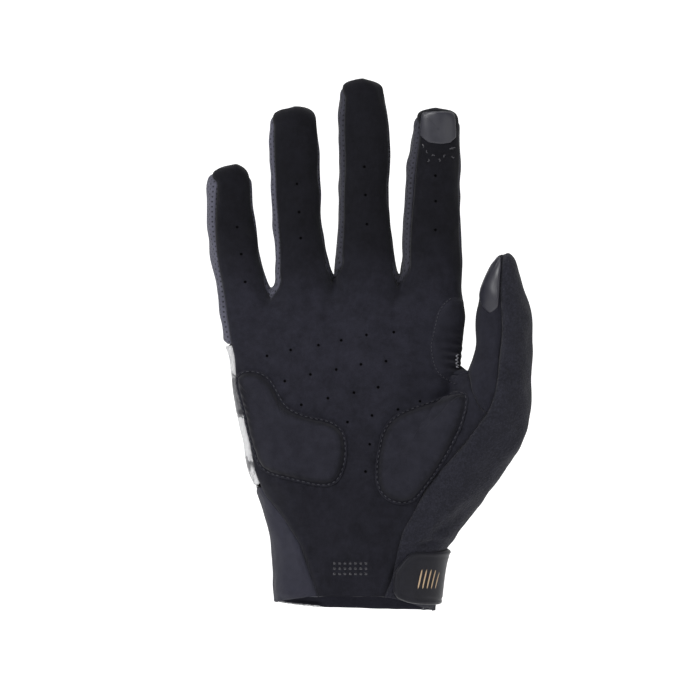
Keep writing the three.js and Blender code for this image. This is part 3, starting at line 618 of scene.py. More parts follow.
# A closed slab on the shell: its top is the surface plus the lift, its underside lies under it.
def makeSlab(name, surface, lift, under, materials, node=None, plan=None):
    rows, columns = surface.shape[:2]
    flat = surface.reshape(-1, 3)
    normals = formNormals(flat)
    top = (flat + normals * lift.reshape(-1, 1)).reshape(rows, columns, 3)
    low = (flat + normals * np.minimum(under, lift.reshape(-1, 1) - 0.05)).reshape(rows, columns, 3)
    rims = [np.stack([top[-1], low[-1]]), np.stack([low[0], top[0]]),
            np.stack([low[:, 0], top[:, 0]], 1), np.stack([top[:, -1], low[:, -1]], 1)]
    joined, faces = welded(*joinGrids([top, low[:, ::-1]] + rims), reach=0.004)
    piece = outward(buildMesh(name, joined, faces, joined[:, [0, 2]] if plan is None else plan(joined)))
    return finished(piece, node, materials)


# Height of a sewn pad over its rim distance d: rim, valley under the thread, shoulder, soft crown
def padLift(distance, along):
    crown = pad["rise"] * np.sin(np.pi / 2 * np.clip((distance - 0.9) / pad["shoulder"], 0, 1)) ** 0.8
    valley = pad["valley"] * np.exp(-((distance - pad["outside"] - 0.55) / pad["valleyWidth"]) ** 2)
    pucker = pad["pucker"] * np.sin(2 * np.pi * along / pad["puckerPitch"] + 1.7 * np.sin(along / 5.3))
    edge = pad["rim"] * np.clip(distance / 0.25, 0, 1) ** 0.5
    return edge + crown + valley + pucker * np.exp(-((distance - 2.4) / 1.3) ** 2)


def makePad(name, outline, centre):
    rim = evened(outline, pad["step"])
    places = fanPlaces(rim, np.array(centre), pad["outside"], pad["rings"])
    surface = frontPoints(places[..., 0], places[..., 1])
    border = evened(places[-1, :-1], 0.3, soften=0.1)
    distance = nearestGap(places.reshape(-1, 2), border).reshape(places.shape[:2])
    along = np.broadcast_to(np.arange(places.shape[1]) * pad["step"], places.shape[:2])
    even = frontPoints(places[..., 0], places[..., 1], pad["evenness"])
    surface += (even - surface) * smoothStep(0.5, 6.0, distance)[..., None]
    lift = padLift(distance, along) + cover(surface)[1]
    # The pattern map's u is the distance to the rim, which the pad material uses for its painted shade in the valley
    piece = makeSlab(name + "_cloth", surface, lift, -0.5, [padSuede], node=name,
                     plan=lambda points: np.stack([nearestGap(points[:, [0, 2]], border), points[:, 2]], -1))
    print("pad", name)
    return rim


# ---- threads ----
# Closed capsules: centre = path + arch * sin(pi t), radius * sqrt(1 - (2 t - 1)^4); t runs along
# each one. paths has the shape (count, steps, 3); side is the way in which they are widened.
def makeTubes(name, paths, ups, radius, material, arch=0.0, flat=1.0, around=7):
    count, steps = paths.shape[:2]
    t = np.linspace(0, 1, steps)
    tangent = np.gradient(paths, axis=1)
    tangent /= np.linalg.norm(tangent, axis=-1, keepdims=True)
    side = np.cross(tangent, ups)
    side /= np.linalg.norm(side, axis=-1, keepdims=True)
    up = np.cross(side, tangent)
    centre = paths + up * (arch * np.sin(np.pi * t))[None, :, None]
    width = radius * np.sqrt(np.clip(1 - (2 * t - 1) ** 4, 0, 1))
    turn = np.linspace(0, 2 * np.pi, around + 1)
    ring = (side[:, :, None] * np.cos(turn)[:, None] + up[:, :, None] * (flat * np.sin(turn))[:, None])
    grid = centre[:, :, None] + ring * width[None, :, None, None]
    index = np.arange(count * steps * (around + 1)).reshape(count, steps, around + 1)
    faces = np.stack([index[:, :-1, :-1], index[:, :-1, 1:], index[:, 1:, 1:], index[:, 1:, :-1]], -1).reshape(-1, 4)
    points, faces = welded(grid.reshape(-1, 3), faces, reach=0.003)
    piece = outward(buildMesh(name, points, faces))
    return finished(piece, None, [material])


# Stitches of one length at even places along a path
def stitchPaths(path, pitch, length, closed=True, steps=6):
    ring = np.concatenate([path, path[:1]]) if closed else path
    run = np.concatenate([[0], np.cumsum(np.linalg.norm(np.diff(ring, axis=0), axis=1))])
    count = int(run[-1] / pitch)
    starts = np.arange(count) * (run[-1] / count) + 0.3
    at = starts[:, None] + np.linspace(0, length, steps)[None]
    return np.stack([np.interp(at, run, ring[:, axis]) for axis in range(ring.shape[1])], -1)


# Thread on the front of the form, raised over it by lift mm
def threadOnFront(name, path, pitch, length, lift, radius, closed=True):
    places = stitchPaths(path, pitch, length, closed)
    surface = frontPoints(places[..., 0], places[..., 1])
    normals, base = cover(surface)
    return makeTubes(name, surface + normals * (lift + base)[..., None], normals, radius, thread, arch=0.16)


# ---- materials ----
# A shader value with Python's operators: each one adds a Math node
class Signal:
    def __init__(self, sheet, socket):
        self.sheet, self.socket = sheet, socket

    def maths(self, operation, *values):
        return self.sheet.node("ShaderNodeMath", {"operation": operation}, dict(enumerate(values)))

    def __add__(self, other): return self.maths("ADD", self, other)
    def __sub__(self, other): return self.maths("SUBTRACT", self, other)
    def __mul__(self, other): return self.maths("MULTIPLY", self, other)
    def __truediv__(self, other): return self.maths("DIVIDE", self, other)
    def __mod__(self, other): return self.maths("FLOORED_MODULO", self, other)
    def __abs__(self): return self.maths("ABSOLUTE", self)
    def __rsub__(self, other): return self.maths("SUBTRACT", other, self)
    __radd__, __rmul__ = __add__, __mul__
    def low(self, other): return self.maths("MINIMUM", self, other)
    def high(self, other): return self.maths("MAXIMUM", self, other)
    def sine(self): return self.maths("SINE", self)
    def whole(self): return self.maths("FLOOR", self)
    def root(self): return self.maths("SQRT", self)

    # 0 below the first bound and 1 above the second, with a soft rise between
    def step(self, first, second):
        return self.sheet.node("ShaderNodeMapRange", {"interpolation_type": "SMOOTHSTEP", "clamp": True},
                               {"Value": self, "From Min": first, "From Max": second, "To Min": 0.0, "To Max": 1.0})


# A material's node tree, with one method that makes and links any node
class Sheet:
    def __init__(self, name, **constants):
        self.material = bpy.data.materials.new(name)
        self.material.use_nodes = True
        self.tree = self.material.node_tree
        self.shader = self.tree.nodes["Principled BSDF"]
        for key, value in constants.items():
            self.shader.inputs[key.replace("_", " ")].default_value = value
        self.inMm = self.vector("SCALE", self.node("ShaderNodeTexCoord", output="Object"), "Scale", 1000.0)
        self.x, self.y, self.z = self.split(self.inMm)

    def feed(self, socket, value):
        if isinstance(value, Signal):
            self.tree.links.new(value.socket, socket)
        else:
            socket.default_value = value

    def node(self, kind, settings=None, inputs=None, output=0):
        made = self.tree.nodes.new(kind)
        for key, value in (settings or {}).items():
            setattr(made, key, value)
        for key, value in (inputs or {}).items():
            self.feed(made.inputs[key], value)
        return Signal(self, made.outputs[output])

    def vector(self, operation, first, socket, second):
        return self.node("ShaderNodeVectorMath", {"operation": operation}, {0: first, socket: second},
                         "Value" if operation == "DISTANCE" else "Vector")

    def split(self, value):
        parts = self.node("ShaderNodeSeparateXYZ", None, {0: value})
        outputs = parts.socket.node.outputs
        return [Signal(self, outputs[i]) for i in range(3)]

    def joined(self, x, y, z):
        return self.node("ShaderNodeCombineXYZ", None, {0: x, 1: y, 2: z})

    def noise(self, scale, detail=3.0, rough=0.55, where=None):
        return self.node("ShaderNodeTexNoise", None, {
            "Vector": self.inMm if where is None else where, "Scale": scale, "Detail": detail, "Roughness": rough})

    def cells(self, scale, where):
        return self.node("ShaderNodeTexVoronoi", None, {"Vector": where, "Scale": scale}, "Distance")

    def mix(self, share, first, second):
        return self.node("ShaderNodeMix", {"data_type": "RGBA"}, {0: share, 6: first, 7: second}, 2)

    def pattern(self):
        return self.split(self.node("ShaderNodeUVMap", {"uv_map": "Pattern"}))[:2]

    # Bump from a height in mm
    def finish(self, colour, roughness, height, strength=1.0):
        bump = self.node("ShaderNodeBump", None, {"Height": height * 0.001, "Distance": 1.0, "Strength": strength})
        self.feed(self.shader.inputs["Base Color"], colour)
        self.feed(self.shader.inputs["Roughness"], roughness)
        self.feed(self.shader.inputs["Normal"], bump)
        return self.material

    # The shader gives way to matt black where a hole is.
    def hollowed(self, share):
        black = self.node("ShaderNodeBsdfDiffuse", None, {"Color": (0.0008, 0.0008, 0.001, 1)})
        cloth = Signal(self, self.shader.outputs["BSDF"])
        both = self.node("ShaderNodeMixShader", None, {0: share, 1: cloth, 2: black})
        self.feed(self.tree.nodes["Material Output"].inputs["Surface"], both)


def grey(level, blue=1.0):
    return (level, level, level * blue, 1)


# Perforations of palm and fingers, as (x, z) in mm
holes = [(-36.3, 97.6), (-26.9, 100.0), (-15.8, 101.9), (-6.7, 103.9), (3.4, 106.0), (14.4, 107.2), (-29.3, 87.6),
         (-19.0, 90.2), (-8.7, 92.2), (1.2, 94.2), (11.2, 95.5), (-22.6, 78.0), (-12.0, 80.7), (-1.6, 83.0),
         (8.1, 85.1), (-4.2, 71.2), (5.6, 73.8), (16.0, 76.2), (25.1, 79.6), (4.7, 62.3), (3.0, 51.4),
         (-48.4, 149.2), (-46.8, 138.4), (-45.2, 127.2), (-24.4, 166.4), (-23.6, 155.2), (-22.9, 144.8),
         (2.6, 173.3), (3.0, 162.1), (3.6, 150.4), (31.0, 169.8), (31.1, 159.6), (31.0, 148.1)]
# fingerShade and wristShade are painted shade: the shares by which the suede's colour is made darker on the fingers
# and towards the wrist
suedeLook = {"dark": 0.0052, "light": 0.0125, "fingerShade": 0.62, "wristShade": 0.32, "blue": 1.5,
             "fibre": 0.05, "hole": 0.56, "roughness": 0.86}


# Brushed microfibre: fibre noise drawn out a little, nap in soft patches, pale worn crests, and painted shade that
# darkens the colour on the fingers and towards the wrist
def suedeMaterial():
    sheet = Sheet("Suede", Sheen_Weight=0.035, Sheen_Roughness=0.5, Specular_IOR_Level=0.07)
    fibre = sheet.noise(2.6, 4.0, 0.7)
    grain = sheet.noise(7.0, 2.0, 0.6)
    nap = sheet.noise(0.16, 3.0, 0.6)
    patches = sheet.noise(0.55, 3.0, 0.55)
    # Painted shade: the colour goes darker up the fingers (z 112 to 150 mm) and down towards the wrist (below z 95
    # mm)
    fingerPart = sheet.z.step(112.0, 150.0)
    level = (nap - 0.5) * 0.9 + (patches - 0.5) * 0.55 + (fibre - 0.5) * 0.9 + (grain - 0.5) * 0.5 + 0.5
    shade = 1.0 - fingerPart * suedeLook["fingerShade"] - (1.0 - sheet.z.step(40.0, 95.0)) * suedeLook["wristShade"]
    u, v = sheet.pattern()
    at = sheet.joined(u, v, 0.0)
    near = None
    for x, z in holes:
        gap = sheet.vector("DISTANCE", at, 1, (x, z, 0))
        near = gap if near is None else near.low(gap)
    hollow = 1.0 - near.step(suedeLook["hole"] * 0.7, suedeLook["hole"] * 1.25)
    dent = 1.0 - near.step(suedeLook["hole"], suedeLook["hole"] * 3.2)
    cloth = sheet.mix(level.step(0.0, 1.0), grey(suedeLook["dark"], suedeLook["blue"]),
                      grey(suedeLook["light"], suedeLook["blue"]))
    tone = sheet.mix(shade, grey(0.0), cloth)
    height = fibre * suedeLook["fibre"] + grain * 0.03 + nap * 0.12 - hollow * 0.5 - dent * 0.12
    made = sheet.finish(tone, suedeLook["roughness"] - (patches - 0.5) * 0.12, height, 0.9)
    sheet.hollowed(hollow)
    return made


# Pads and patch: the same suede without perforations, its crests a little paler; painted shade makes a near-black
# band just inside the stitch line, where the valley lies
def padMaterial():
    sheet = Sheet("Pad suede", Sheen_Weight=0.04, Sheen_Roughness=0.5, Specular_IOR_Level=0.07)
    fibre = sheet.noise(2.6, 4.0, 0.7)
    grain = sheet.noise(7.0, 2.0, 0.6)
    nap = sheet.noise(0.2, 3.0, 0.6)
    u, v = sheet.pattern()
    # Painted shade: near black about 1.7 mm in from the pad's rim (u is the distance to the rim), in the valley under
    # the stitches
    off = (u - 1.7) / 1.15
    paintedValleyShade = off.maths("EXPONENT", 0.0 - off * off) * 0.5
    level = (nap - 0.5) * 0.9 + (fibre - 0.5) * 0.9 + (grain - 0.5) * 0.5 + 0.52
    cloth = sheet.mix(level.step(0.0, 1.0), grey(0.0056, 1.5), grey(0.0132, 1.45))
    colour = sheet.mix(paintedValleyShade, cloth, grey(0.0018, 1.4))
    height = fibre * suedeLook["fibre"] + grain * 0.03 + nap * 0.1
    return sheet.finish(colour, suedeLook["roughness"] - (nap - 0.5) * 0.1, height, 0.9)


# Net of the finger sides: staggered holes in rows, columns 1.45 mm apart, pitch 2.04 mm, on ribs; painted shade on
# the strips of the middle and index fingers
def meshMaterial():
    look = {"pitch": 2.04, "column": 1.45, "hole": 0.36, "blue": 1.35}
    sheet = Sheet("Side mesh", Specular_IOR_Level=0.12, Sheen_Weight=0.04)
    u, v = sheet.pattern()
    column = (u / look["column"]).whole()
    shifted = v + (column % 2.0) * (look["pitch"] / 2)
    du = u % look["column"] - look["column"] / 2
    dv = shifted % look["pitch"] - look["pitch"] / 2
    far = (du * du + dv * dv * 0.8).root()
    hole = 1.0 - far.step(look["hole"] * 0.7, look["hole"] * 1.2)
    rib = ((u * (2 * math.pi / 0.36)).sine() * (v * (2 * math.pi / 0.42)).sine()) * 0.5 + 0.5
    uneven = sheet.noise(0.35, 3.0, 0.55)
    tuft = sheet.noise(4.5, 2.0, 0.6)
    colour = sheet.mix((uneven - 0.5) * 0.8 + rib * 0.35 + (tuft - 0.5) * 0.4 + 0.3, grey(0.03, look["blue"]),
                       grey(0.078, look["blue"]))
    # Painted shade: the mesh right of about x = -15 mm (middle and index fingers) is mixed 62 % of the way to near
    # black
    paintedSideShade = sheet.x.step(-22.0, -8.0) * 0.62
    colour = sheet.mix(paintedSideShade, colour, grey(0.006, 1.4))
    colour = sheet.mix(hole * 0.8, colour, grey(0.006, 1.2))
    height = rib * 0.05 - hole * 0.3 + tuft * 0.04
    return sheet.finish(colour, 0.72 + tuft * 0.1, height, 0.9)


# Printed knit: blotches of white, grey and black along warped noise, on fine knit columns
def knitMaterial():
    look = {"white": 0.4, "grey": 0.085, "black": 0.012, "wale": 0.62, "course": 0.5}
    sheet = Sheet("Printed knit", Specular_IOR_Level=0.25, Sheen_Weight=0.1)
    warp = sheet.noise(0.09, 3.0, 0.55)
    fine = sheet.noise(0.34, 5.0, 0.62)
    drift = sheet.joined(sheet.x + warp * 26.0, sheet.y, sheet.z * 0.8 + warp * 34.0)
    blot = sheet.noise(0.055, 4.0, 0.6, drift)
    veins = sheet.noise(0.16, 5.0, 0.65, drift)
    # along the sliver at the little-finger edge the print runs white, speckled grey, white, grey
    edge = (1.0 - sheet.x.step(-46.0, -38.0)) * (1.0 - sheet.y.step(-7.0, 3.0))
    ragged = sheet.z + (sheet.noise(0.5, 4.0, 0.65) - 0.5) * 9.0 + sheet.x * 0.35 + 16.0
    low, middle, high = ragged.step(56.0, 59.0), ragged.step(71.0, 74.5), ragged.step(89.0, 92.0)
    band = low - middle + high + (1.0 - ragged.step(47.5, 49.0)) * 0.8
    value = (blot - 0.5) * 2.2 + (fine - 0.5) * 0.8 + 0.5
    value = value * (1.0 - edge * 0.8) + edge * 0.8 * (band * 0.85 + 0.1 + (fine - 0.5) * 0.7)
    base = sheet.mix(value.step(0.36, 0.52), grey(look["grey"], 1.06), grey(look["white"], 1.02))
    dark = (1.0 - value.step(0.12, 0.27)).high((1.0 - abs(veins - 0.5).step(0.012, 0.05)) * 0.85 * (1.0 - edge))
    speck = sheet.noise(1.5, 3.0, 0.65).step(0.5, 0.62) * (1.0 - value.step(0.3, 0.5)) * 0.6
    colour = sheet.mix(dark.high(speck).low(1.0), base, grey(look["black"], 1.25))
    across = ((sheet.x + sheet.y * 0.8) * (2 * math.pi / look["wale"])).sine()
    along = (sheet.z * (2 * math.pi / look["course"]) + abs(across) * 1.6).sine()
    knit = across * 0.5 + along * 0.35
    colour = sheet.mix((knit * 0.12 + 0.12).high(0.0), colour, grey(0.05, 1.1))
    return sheet.finish(colour, 0.74 - value * 0.06, knit * 0.035 + fine * 0.05, 0.9)


# Brushed loops: voronoi tufts in two sizes, tips paler than the roots
def terryMaterial():
    sheet = Sheet("Terry", Sheen_Weight=0.05, Sheen_Roughness=0.6, Specular_IOR_Level=0.05)
    warp = sheet.noise(0.9, 3.0, 0.6)
    where = sheet.vector("ADD", sheet.inMm, 1, sheet.joined(warp * 1.3, 0.0, warp * 1.1))
    loops = sheet.cells(1.15, where)
    tufts = sheet.cells(2.4, where)
    nap = sheet.noise(0.22, 3.0, 0.6)
    fine = sheet.noise(5.0, 3.0, 0.65)
    level = 0.95 - loops * 0.75 - tufts * 0.35 + (nap - 0.5) * 0.7 + (fine - 0.5) * 0.7
    colour = sheet.mix(level.step(0.0, 1.05), grey(0.0068, 1.48), grey(0.0156, 1.45))
    height = 0.3 - loops * 0.22 - tufts * 0.1 + fine * 0.06
    return sheet.finish(colour, 0.95, height, 1.0)


# Plain stretch cloth of the wrist: narrow upright ribs and small stitches
def stretchMaterial():
    sheet = Sheet("Stretch knit", Sheen_Weight=0.04, Specular_IOR_Level=0.08)
    u, v = sheet.pattern()
    rib = (u * (2 * math.pi / 0.5)).sine()
    row = (v * (2 * math.pi / 0.45) + abs(rib) * 1.4).sine()
    uneven = sheet.noise(0.4, 3.0, 0.6)
    tuft = sheet.noise(5.0, 2.0, 0.6)
    level = rib * 0.1 + row * 0.08 + (uneven - 0.5) * 0.6 + (tuft - 0.5) * 0.5 + 0.5
    colour = sheet.mix(level.step(0.0, 1.0), grey(0.0098, 1.48), grey(0.0215, 1.45))
    return sheet.finish(colour, 0.82, rib * 0.02 + row * 0.015 + tuft * 0.03 + uneven * 0.1, 0.9)


# Smooth coated patch: faint grain and small scuffs
def patchMaterial():
    sheet = Sheet("Touch patch", Specular_IOR_Level=0.3, Coat_Weight=0.05, Coat_Roughness=0.35)
    cloud = sheet.noise(0.35, 3.0, 0.6)
    grain = sheet.noise(3.2, 3.0, 0.6)
    colour = sheet.mix(cloud * 0.7 + grain * 0.3, grey(0.0085, 1.42), grey(0.0185, 1.4))
    return sheet.finish(colour, 0.36 + (grain - 0.5) * 0.25 + cloud * 0.08, grain * 0.03, 0.8)


# Laminated tab: tight fine grain, edges slightly worn
def strapMaterial():
    sheet = Sheet("Strap", Specular_IOR_Level=0.12, Sheen_Weight=0.02)
    cloud = sheet.noise(0.3, 3.0, 0.6)
    grain = sheet.noise(4.0, 3.0, 0.65)
    weave = ((sheet.x * (2 * math.pi / 0.5)).sine() * (sheet.z * (2 * math.pi / 0.5)).sine()) * 0.5 + 0.5
    level = (cloud - 0.5) * 0.8 + (grain - 0.5) * 0.6 + weave * 0.2 + 0.4
    colour = sheet.mix(level.step(0.0, 1.0), grey(0.0036, 1.48), grey(0.009, 1.45))
    return sheet.finish(colour, 0.55 + (grain - 0.5) * 0.2, grain * 0.035 + weave * 0.02, 0.8)


# Single colours with a little noise: thread, lining, gloss marks, tan marks
def simpleMaterial(name, dark, light, roughness, scale, height, **constants):
    sheet = Sheet(name, **constants)
    grain = sheet.noise(scale, 3.0, 0.6)
    return sheet.finish(sheet.mix(grain, dark, light), roughness + (grain - 0.5) * 0.1, grain * height, 0.8)


suede = suedeMaterial()
padSuede = padMaterial()
meshCloth = meshMaterial()
printedKnit = knitMaterial()
terry = terryMaterial()
stretchKnit = stretchMaterial()
touchPatch = patchMaterial()
strapCloth = strapMaterial()
thread = simpleMaterial("Thread", grey(0.012, 1.3), grey(0.034, 1.25), 0.6, 6.0, 0.05, Specular_IOR_Level=0.2)
paleThread = simpleMaterial("Pale thread", grey(0.12, 1.15), grey(0.24, 1.1), 0.6, 6.0, 0.05, Specular_IOR_Level=0.25)
lining = simpleMaterial("Lining", grey(0.008, 1.4), grey(0.018, 1.4), 0.9, 1.5, 0.1, Specular_IOR_Level=0.05)
gloss = simpleMaterial("Gloss marks", grey(0.008, 1.3), grey(0.016, 1.3), 0.26, 2.0, 0.01, Specular_IOR_Level=0.4)
tan = simpleMaterial("Tan marks", (0.24, 0.17, 0.105, 1), (0.36, 0.26, 0.165, 1), 0.6, 3.0, 0.02,
                     Specular_IOR_Level=0.2)
print("materials done")


# ---- panels ----
pullPoints = {"sunk": 0.9, "pitch": 4.2, "height": 0.16, "reach": 2.4}


# Which places (x, z) lie inside a closed outline: crossings of a line to the right, counted
def insideOf(places, outline):
    ends = np.roll(outline, -1, axis=0)
    x, z = places[:, 0][:, None], places[:, 1][:, None]
    spans = (outline[:, 1] > z) != (ends[:, 1] > z)
    rise = np.where(ends[:, 1] == outline[:, 1], 1e-9, ends[:, 1] - outline[:, 1])
    crossing = outline[:, 0] + (z - outline[:, 1]) / rise * (ends[:, 0] - outline[:, 0])
    return (spans & (x < crossing)).sum(1) % 2 == 1


# Under a pad the palm sinks; beside its thread the cloth is pulled into small puckers.
def palmRelief(points, normals, distance):
    facing = -normals[:, 1] > 0.2
    places = points[:, [0, 2]]
    total = np.zeros(len(points))
    for outline in (padOuterLine, padThumbLine):
        rim = evened(outline, pad["step"])
        far = nearestGap(places, rim)
        within = insideOf(places, rim)
        sink = np.where(within, 1, -1) * far
        total -= pullPoints["sunk"] * smoothStep(-0.4, 1.4, sink)
        outside = np.where(within, 0, far)
        along = ((places[:, None] - rim[None]) ** 2).sum(-1).argmin(1) * pad["step"]
        wave = np.sin(2 * np.pi * along / pullPoints["pitch"] + 1.3 * np.sin(along / 6.1))
        total += pullPoints["height"] * wave * np.exp(-((outside - 1.6) / pullPoints["reach"]) ** 2) * ~within
        total -= 0.35 * np.exp(-((outside - 0.6) / 1.4) ** 2) * ~within
    seam = pullPoints["height"] * np.sin(points[:, 2] * 2 * np.pi / 3.4) * np.exp(-((distance - 1.8) / 1.2) ** 2)
    return np.where(facing, total, 0) + seam * 0.5 * (points[:, 2] < 84)


# Small gathers beside the seams of the thumb's inner panel
def thumbRelief(points, normals, distance):
    return 0.1 * np.sin(points[:, 0] * 2 * np.pi / 2.6) * np.exp(-((distance - 1.5) / 1.3) ** 2)


frontStrips, backStrips = [], []
for number, name in enumerate(fingerNames):
    frontStrips.append(hemmed(spread(borderLine(name, number, "front"), borderLine(name, number + 1, "front"),
                                     stripColumns), hemFront))
    backStrips.append(hemmed(spread(borderLine(name, number + 1, "back"), borderLine(name, number, "back"),
                                    27), hemBack))
makePanel("palm_panel", [rays(strip) for strip in frontStrips], suede, relief=palmRelief)
makePanel("back_panel", [rays(strip) for strip in backStrips], printedKnit)


# Ribbon between two fingers: down the right side of the one, up the left side of the other
def fourchette(name, leftName, rightName, web):
    index = fingerNames.index(rightName)
    parts = []
    for finger, toward in ((leftName, 1.0), (rightName, -1.0)):
        z, tilt = fingerRows(finger)
        keep = (z >= seams["webs"][index - 1] - 0.01) & (tilt < 42)
        front = borderLine(finger, index, "front")[keep]
        back = borderLine(finger, index, "back")[keep]
        up = 1 - smoothStep(web, web + seams["blend"], z[keep])
        parts.append((front, back, np.stack([toward * (1 - up), 0 * up, 1.3 * up], -1)))
    front, back, outward = [np.concatenate([parts[0][i][::-1], parts[1][i][1:]]) for i in range(3)]
    makePanel(name, [ribbonRays(front, back, outward, 20)], meshCloth, pattern=ribbonPattern)


fourchette("fourchette_little_ring", "little", "ring", seams["webs"][0])
fourchette("fourchette_ring_middle", "ring", "middle", seams["webs"][1])
fourchette("fourchette_middle_index", "middle", "index", seams["webs"][2])

z, tilt = fingerRows("little")
keep = (z > seams["wrapTop"]) & (tilt < 42)
sideFront = borderLine("little", 0, "front")[keep]
sideBack = borderLine("little", 0, "back")[keep]
makePanel("little_finger_side", [rays(spread(sideFront, sideBack, 20))], meshCloth,
          pattern=ribbonPattern)

# Thumb: its rows up to the crotch share their heights with the palm.
thumbBase = stacks["thumb"]["top"] - stacks["thumb"]["dome"]
thumbRows = lowRows[lowRows < thumbBase]
thumbZ = np.concatenate([thumbRows, np.full(18, thumbBase)])
thumbTilt = np.concatenate([0 * thumbRows, np.linspace(0, 90, 19)[1:]])


def thumbLine(turn, closed=None):
    middle, centre = axisOf("thumb", thumbZ)
    closed = turn if closed is None else closed
    opened = 1 - smoothStep(20, 70, thumbTilt)
    return line(middle, centre, thumbZ, closed + (turn - closed) * opened, thumbTilt)


def atCrotch(side):
    low = palmLine(4, np.minimum(thumbZ, seams["crotch"]), side)
    low[:, 2] = thumbZ
    return low


frontX = np.where(thumbZ > seams["thumbMeet"], np.interp(thumbZ, thumbFrontSeam[:, 1], thumbFrontSeam[:, 0]),
                  np.interp(thumbZ, palmThumbSeam[:, 1], palmThumbSeam[:, 0]))
frontLow = line(frontX, seams["crotchY"] * smoothStep(60, 80, thumbZ), thumbZ, 270, 0)
thumbFront = mixLines(frontLow, thumbLine(264), smoothStep(92, 108, thumbZ))
thumbCrotch = mixLines(atCrotch("front"), thumbLine(215, 200), leaving(thumbZ))
thumbBack = mixLines(atCrotch("back"), thumbLine(110, 140), leaving(thumbZ))
middle, half = sectionOf("palm", thumbZ)[:2]
ballMiddle, ballHalf, ballFront, ballBack, ballCentre = sectionOf("thumb", thumbZ)
rightEdge = np.maximum(middle + half, ballMiddle + ballHalf)
sideLow = line(rightEdge - seams["sideReach"], ballCentre * smoothStep(10, 50, thumbZ), thumbZ, 360, 0)
thumbSide = mixLines(sideLow, thumbLine(360), smoothStep(88, 104, thumbZ))
thumbBackFar = thumbBack.copy()
thumbBackFar[:, 3] += 360

meetRow = thumbZ >= seams["thumbMeet"] - 0.01
crotchRow = thumbZ >= seams["crotch"] - 0.01
up = 1 - leaving(thumbZ[crotchRow])
innerSide = ribbonRays(thumbCrotch[crotchRow], thumbBack[crotchRow], np.stack([up - 1, 0 * up, 1.3 * up], -1), 20)
makePanel("thumb_inner_panel", [rays(spread(thumbCrotch[meetRow], thumbFront[meetRow], 18)), innerSide],
          suede, relief=thumbRelief)

z, tilt = fingerRows("index")
keep = (z >= seams["crotch"] - 0.01) & (tilt < 42)
up = 1 - leaving(z[keep])
indexSide = ribbonRays(borderLine("index", 4, "front")[keep], borderLine("index", 4, "back")[keep],
                       np.stack([1 - up, 0 * up, 1.3 * up], -1), 20)
makePanel("index_side_panel", [indexSide], meshCloth, pattern=ribbonPattern)

makePanel("thumb_outer_panel", [rays(hemmed(spread(thumbFront, thumbSide, 34), hemFront)),
                                rays(hemmed(spread(thumbSide, thumbBackFar, 28), hemBack))], terry)

z = lowRows[lowRows < seams["wrapLow"]]
wristFront, wristBack, wristSide = palmLine(0, z, "front"), palmLine(0, z, "back"), palmLine(0, z, "back")
wristSide[:, 3] = 190
makePanel("wrist_side_panel", [rays(hemmed(spread(wristSide, wristFront, 26), hemFront)),
                               rays(hemmed(spread(wristBack, wristSide, 12), hemBack))], stretchKnit,
          pattern=ribbonPattern)

# ---- pads on the heel of the hand ----
outerRim = makePad("heel_pad_outer", padOuterLine, (-25.5, 61.5))
thumbRim = makePad("heel_pad_thumb", padThumbLine, (22, 61))
for label, rim in (("outer", outerRim), ("thumb", thumbRim)):
    threadOnFront("stitches_pad_" + label, rim, pad["stitchPitch"], pad["stitchLength"],
                  pad["stitchLift"], pad["stitchRadius"])

# ---- gathered patch between index finger and thumb ----
crotchPatch = {"rise": 0.75, "gatherPitch": 3.9, "gather": 0.55, "low": 86.2, "high": 121.2, "right": 41.2,
               "wrap": 352, "rows": 84, "columns": 26, "seam": 0.7, "middle": 29.5}
patchZ = np.linspace(crotchPatch["low"], crotchPatch["high"], crotchPatch["rows"])
soft = evened(patchLine, 0.5, closed=False, soften=1.2)


# Turn of the front's surface at x, as seen from the patch's own middle
def patchTurn(x):
    face = frontPoints(x, patchZ)
    return np.degrees(np.arctan2(face[:, 1], face[:, 0] - crotchPatch["middle"])) + 360


turnLeft = patchTurn(np.interp(patchZ, soft[:, 1], soft[:, 0]) - crotchPatch["seam"])
turnRight = np.pad(patchTurn(np.full(len(patchZ), crotchPatch["right"])), 4, mode="edge")
turnRight = np.convolve(turnRight, np.ones(9) / 9, mode="valid")
turnRight += (crotchPatch["wrap"] - turnRight) * smoothStep(94.5, 99.0, patchZ)
share = np.linspace(0, 1, crotchPatch["columns"])
turns = turnLeft[:, None] + (turnRight - turnLeft)[:, None] * share
z = np.broadcast_to(patchZ[:, None], turns.shape)
patchFace = castRays(np.stack([np.full_like(turns, crotchPatch["middle"]), 0 * turns, z], -1),
                     flatAim(np.radians(turns)))
far = edgeGap(patchFace)
depthShare = ((smoothStep(0.05, 0.6, share) * (1 - 0.7 * smoothStep(0.6, 0.9, share)))[None]
              * smoothStep(88, 94, patchZ)[:, None] * smoothStep(112, 103, patchZ)[:, None])
bent = patchZ[:, None] + 1.4 * share[None] ** 2 + 0.8 * np.sin(patchZ[:, None] / 3.1)
gathers = crotchPatch["gather"] * depthShare * np.sin(2 * np.pi * bent / crotchPatch["gatherPitch"])
swell = crotchPatch["rise"] * (1 - np.exp(-(far / 1.5) ** 1.5)) - 0.28 * np.exp(-((far - 0.75) / 0.6) ** 2)
lift = 0.28 * np.clip(far / 0.3, 0, 1) ** 0.5 + swell + gathers * np.clip(far / 1.2, 0, 1) + cover(patchFace)[1]
makeSlab("thumb_crotch_patch_cloth", patchFace, lift, -0.5, [padSuede], node="thumb_crotch_patch")
threadOnFront("stitches_patch", soft[2:-1], 1.5, 1.0, 0.28, 0.17, closed=False)
print("crotch patch")

# ---- smooth patches on the fingertips ----
tipCloth = {"rings": 16, "height": 0.42, "corner": 0.5, "gap": 0.02, "under": -0.4, "lean": 0.97, "perDegree": 0.19}


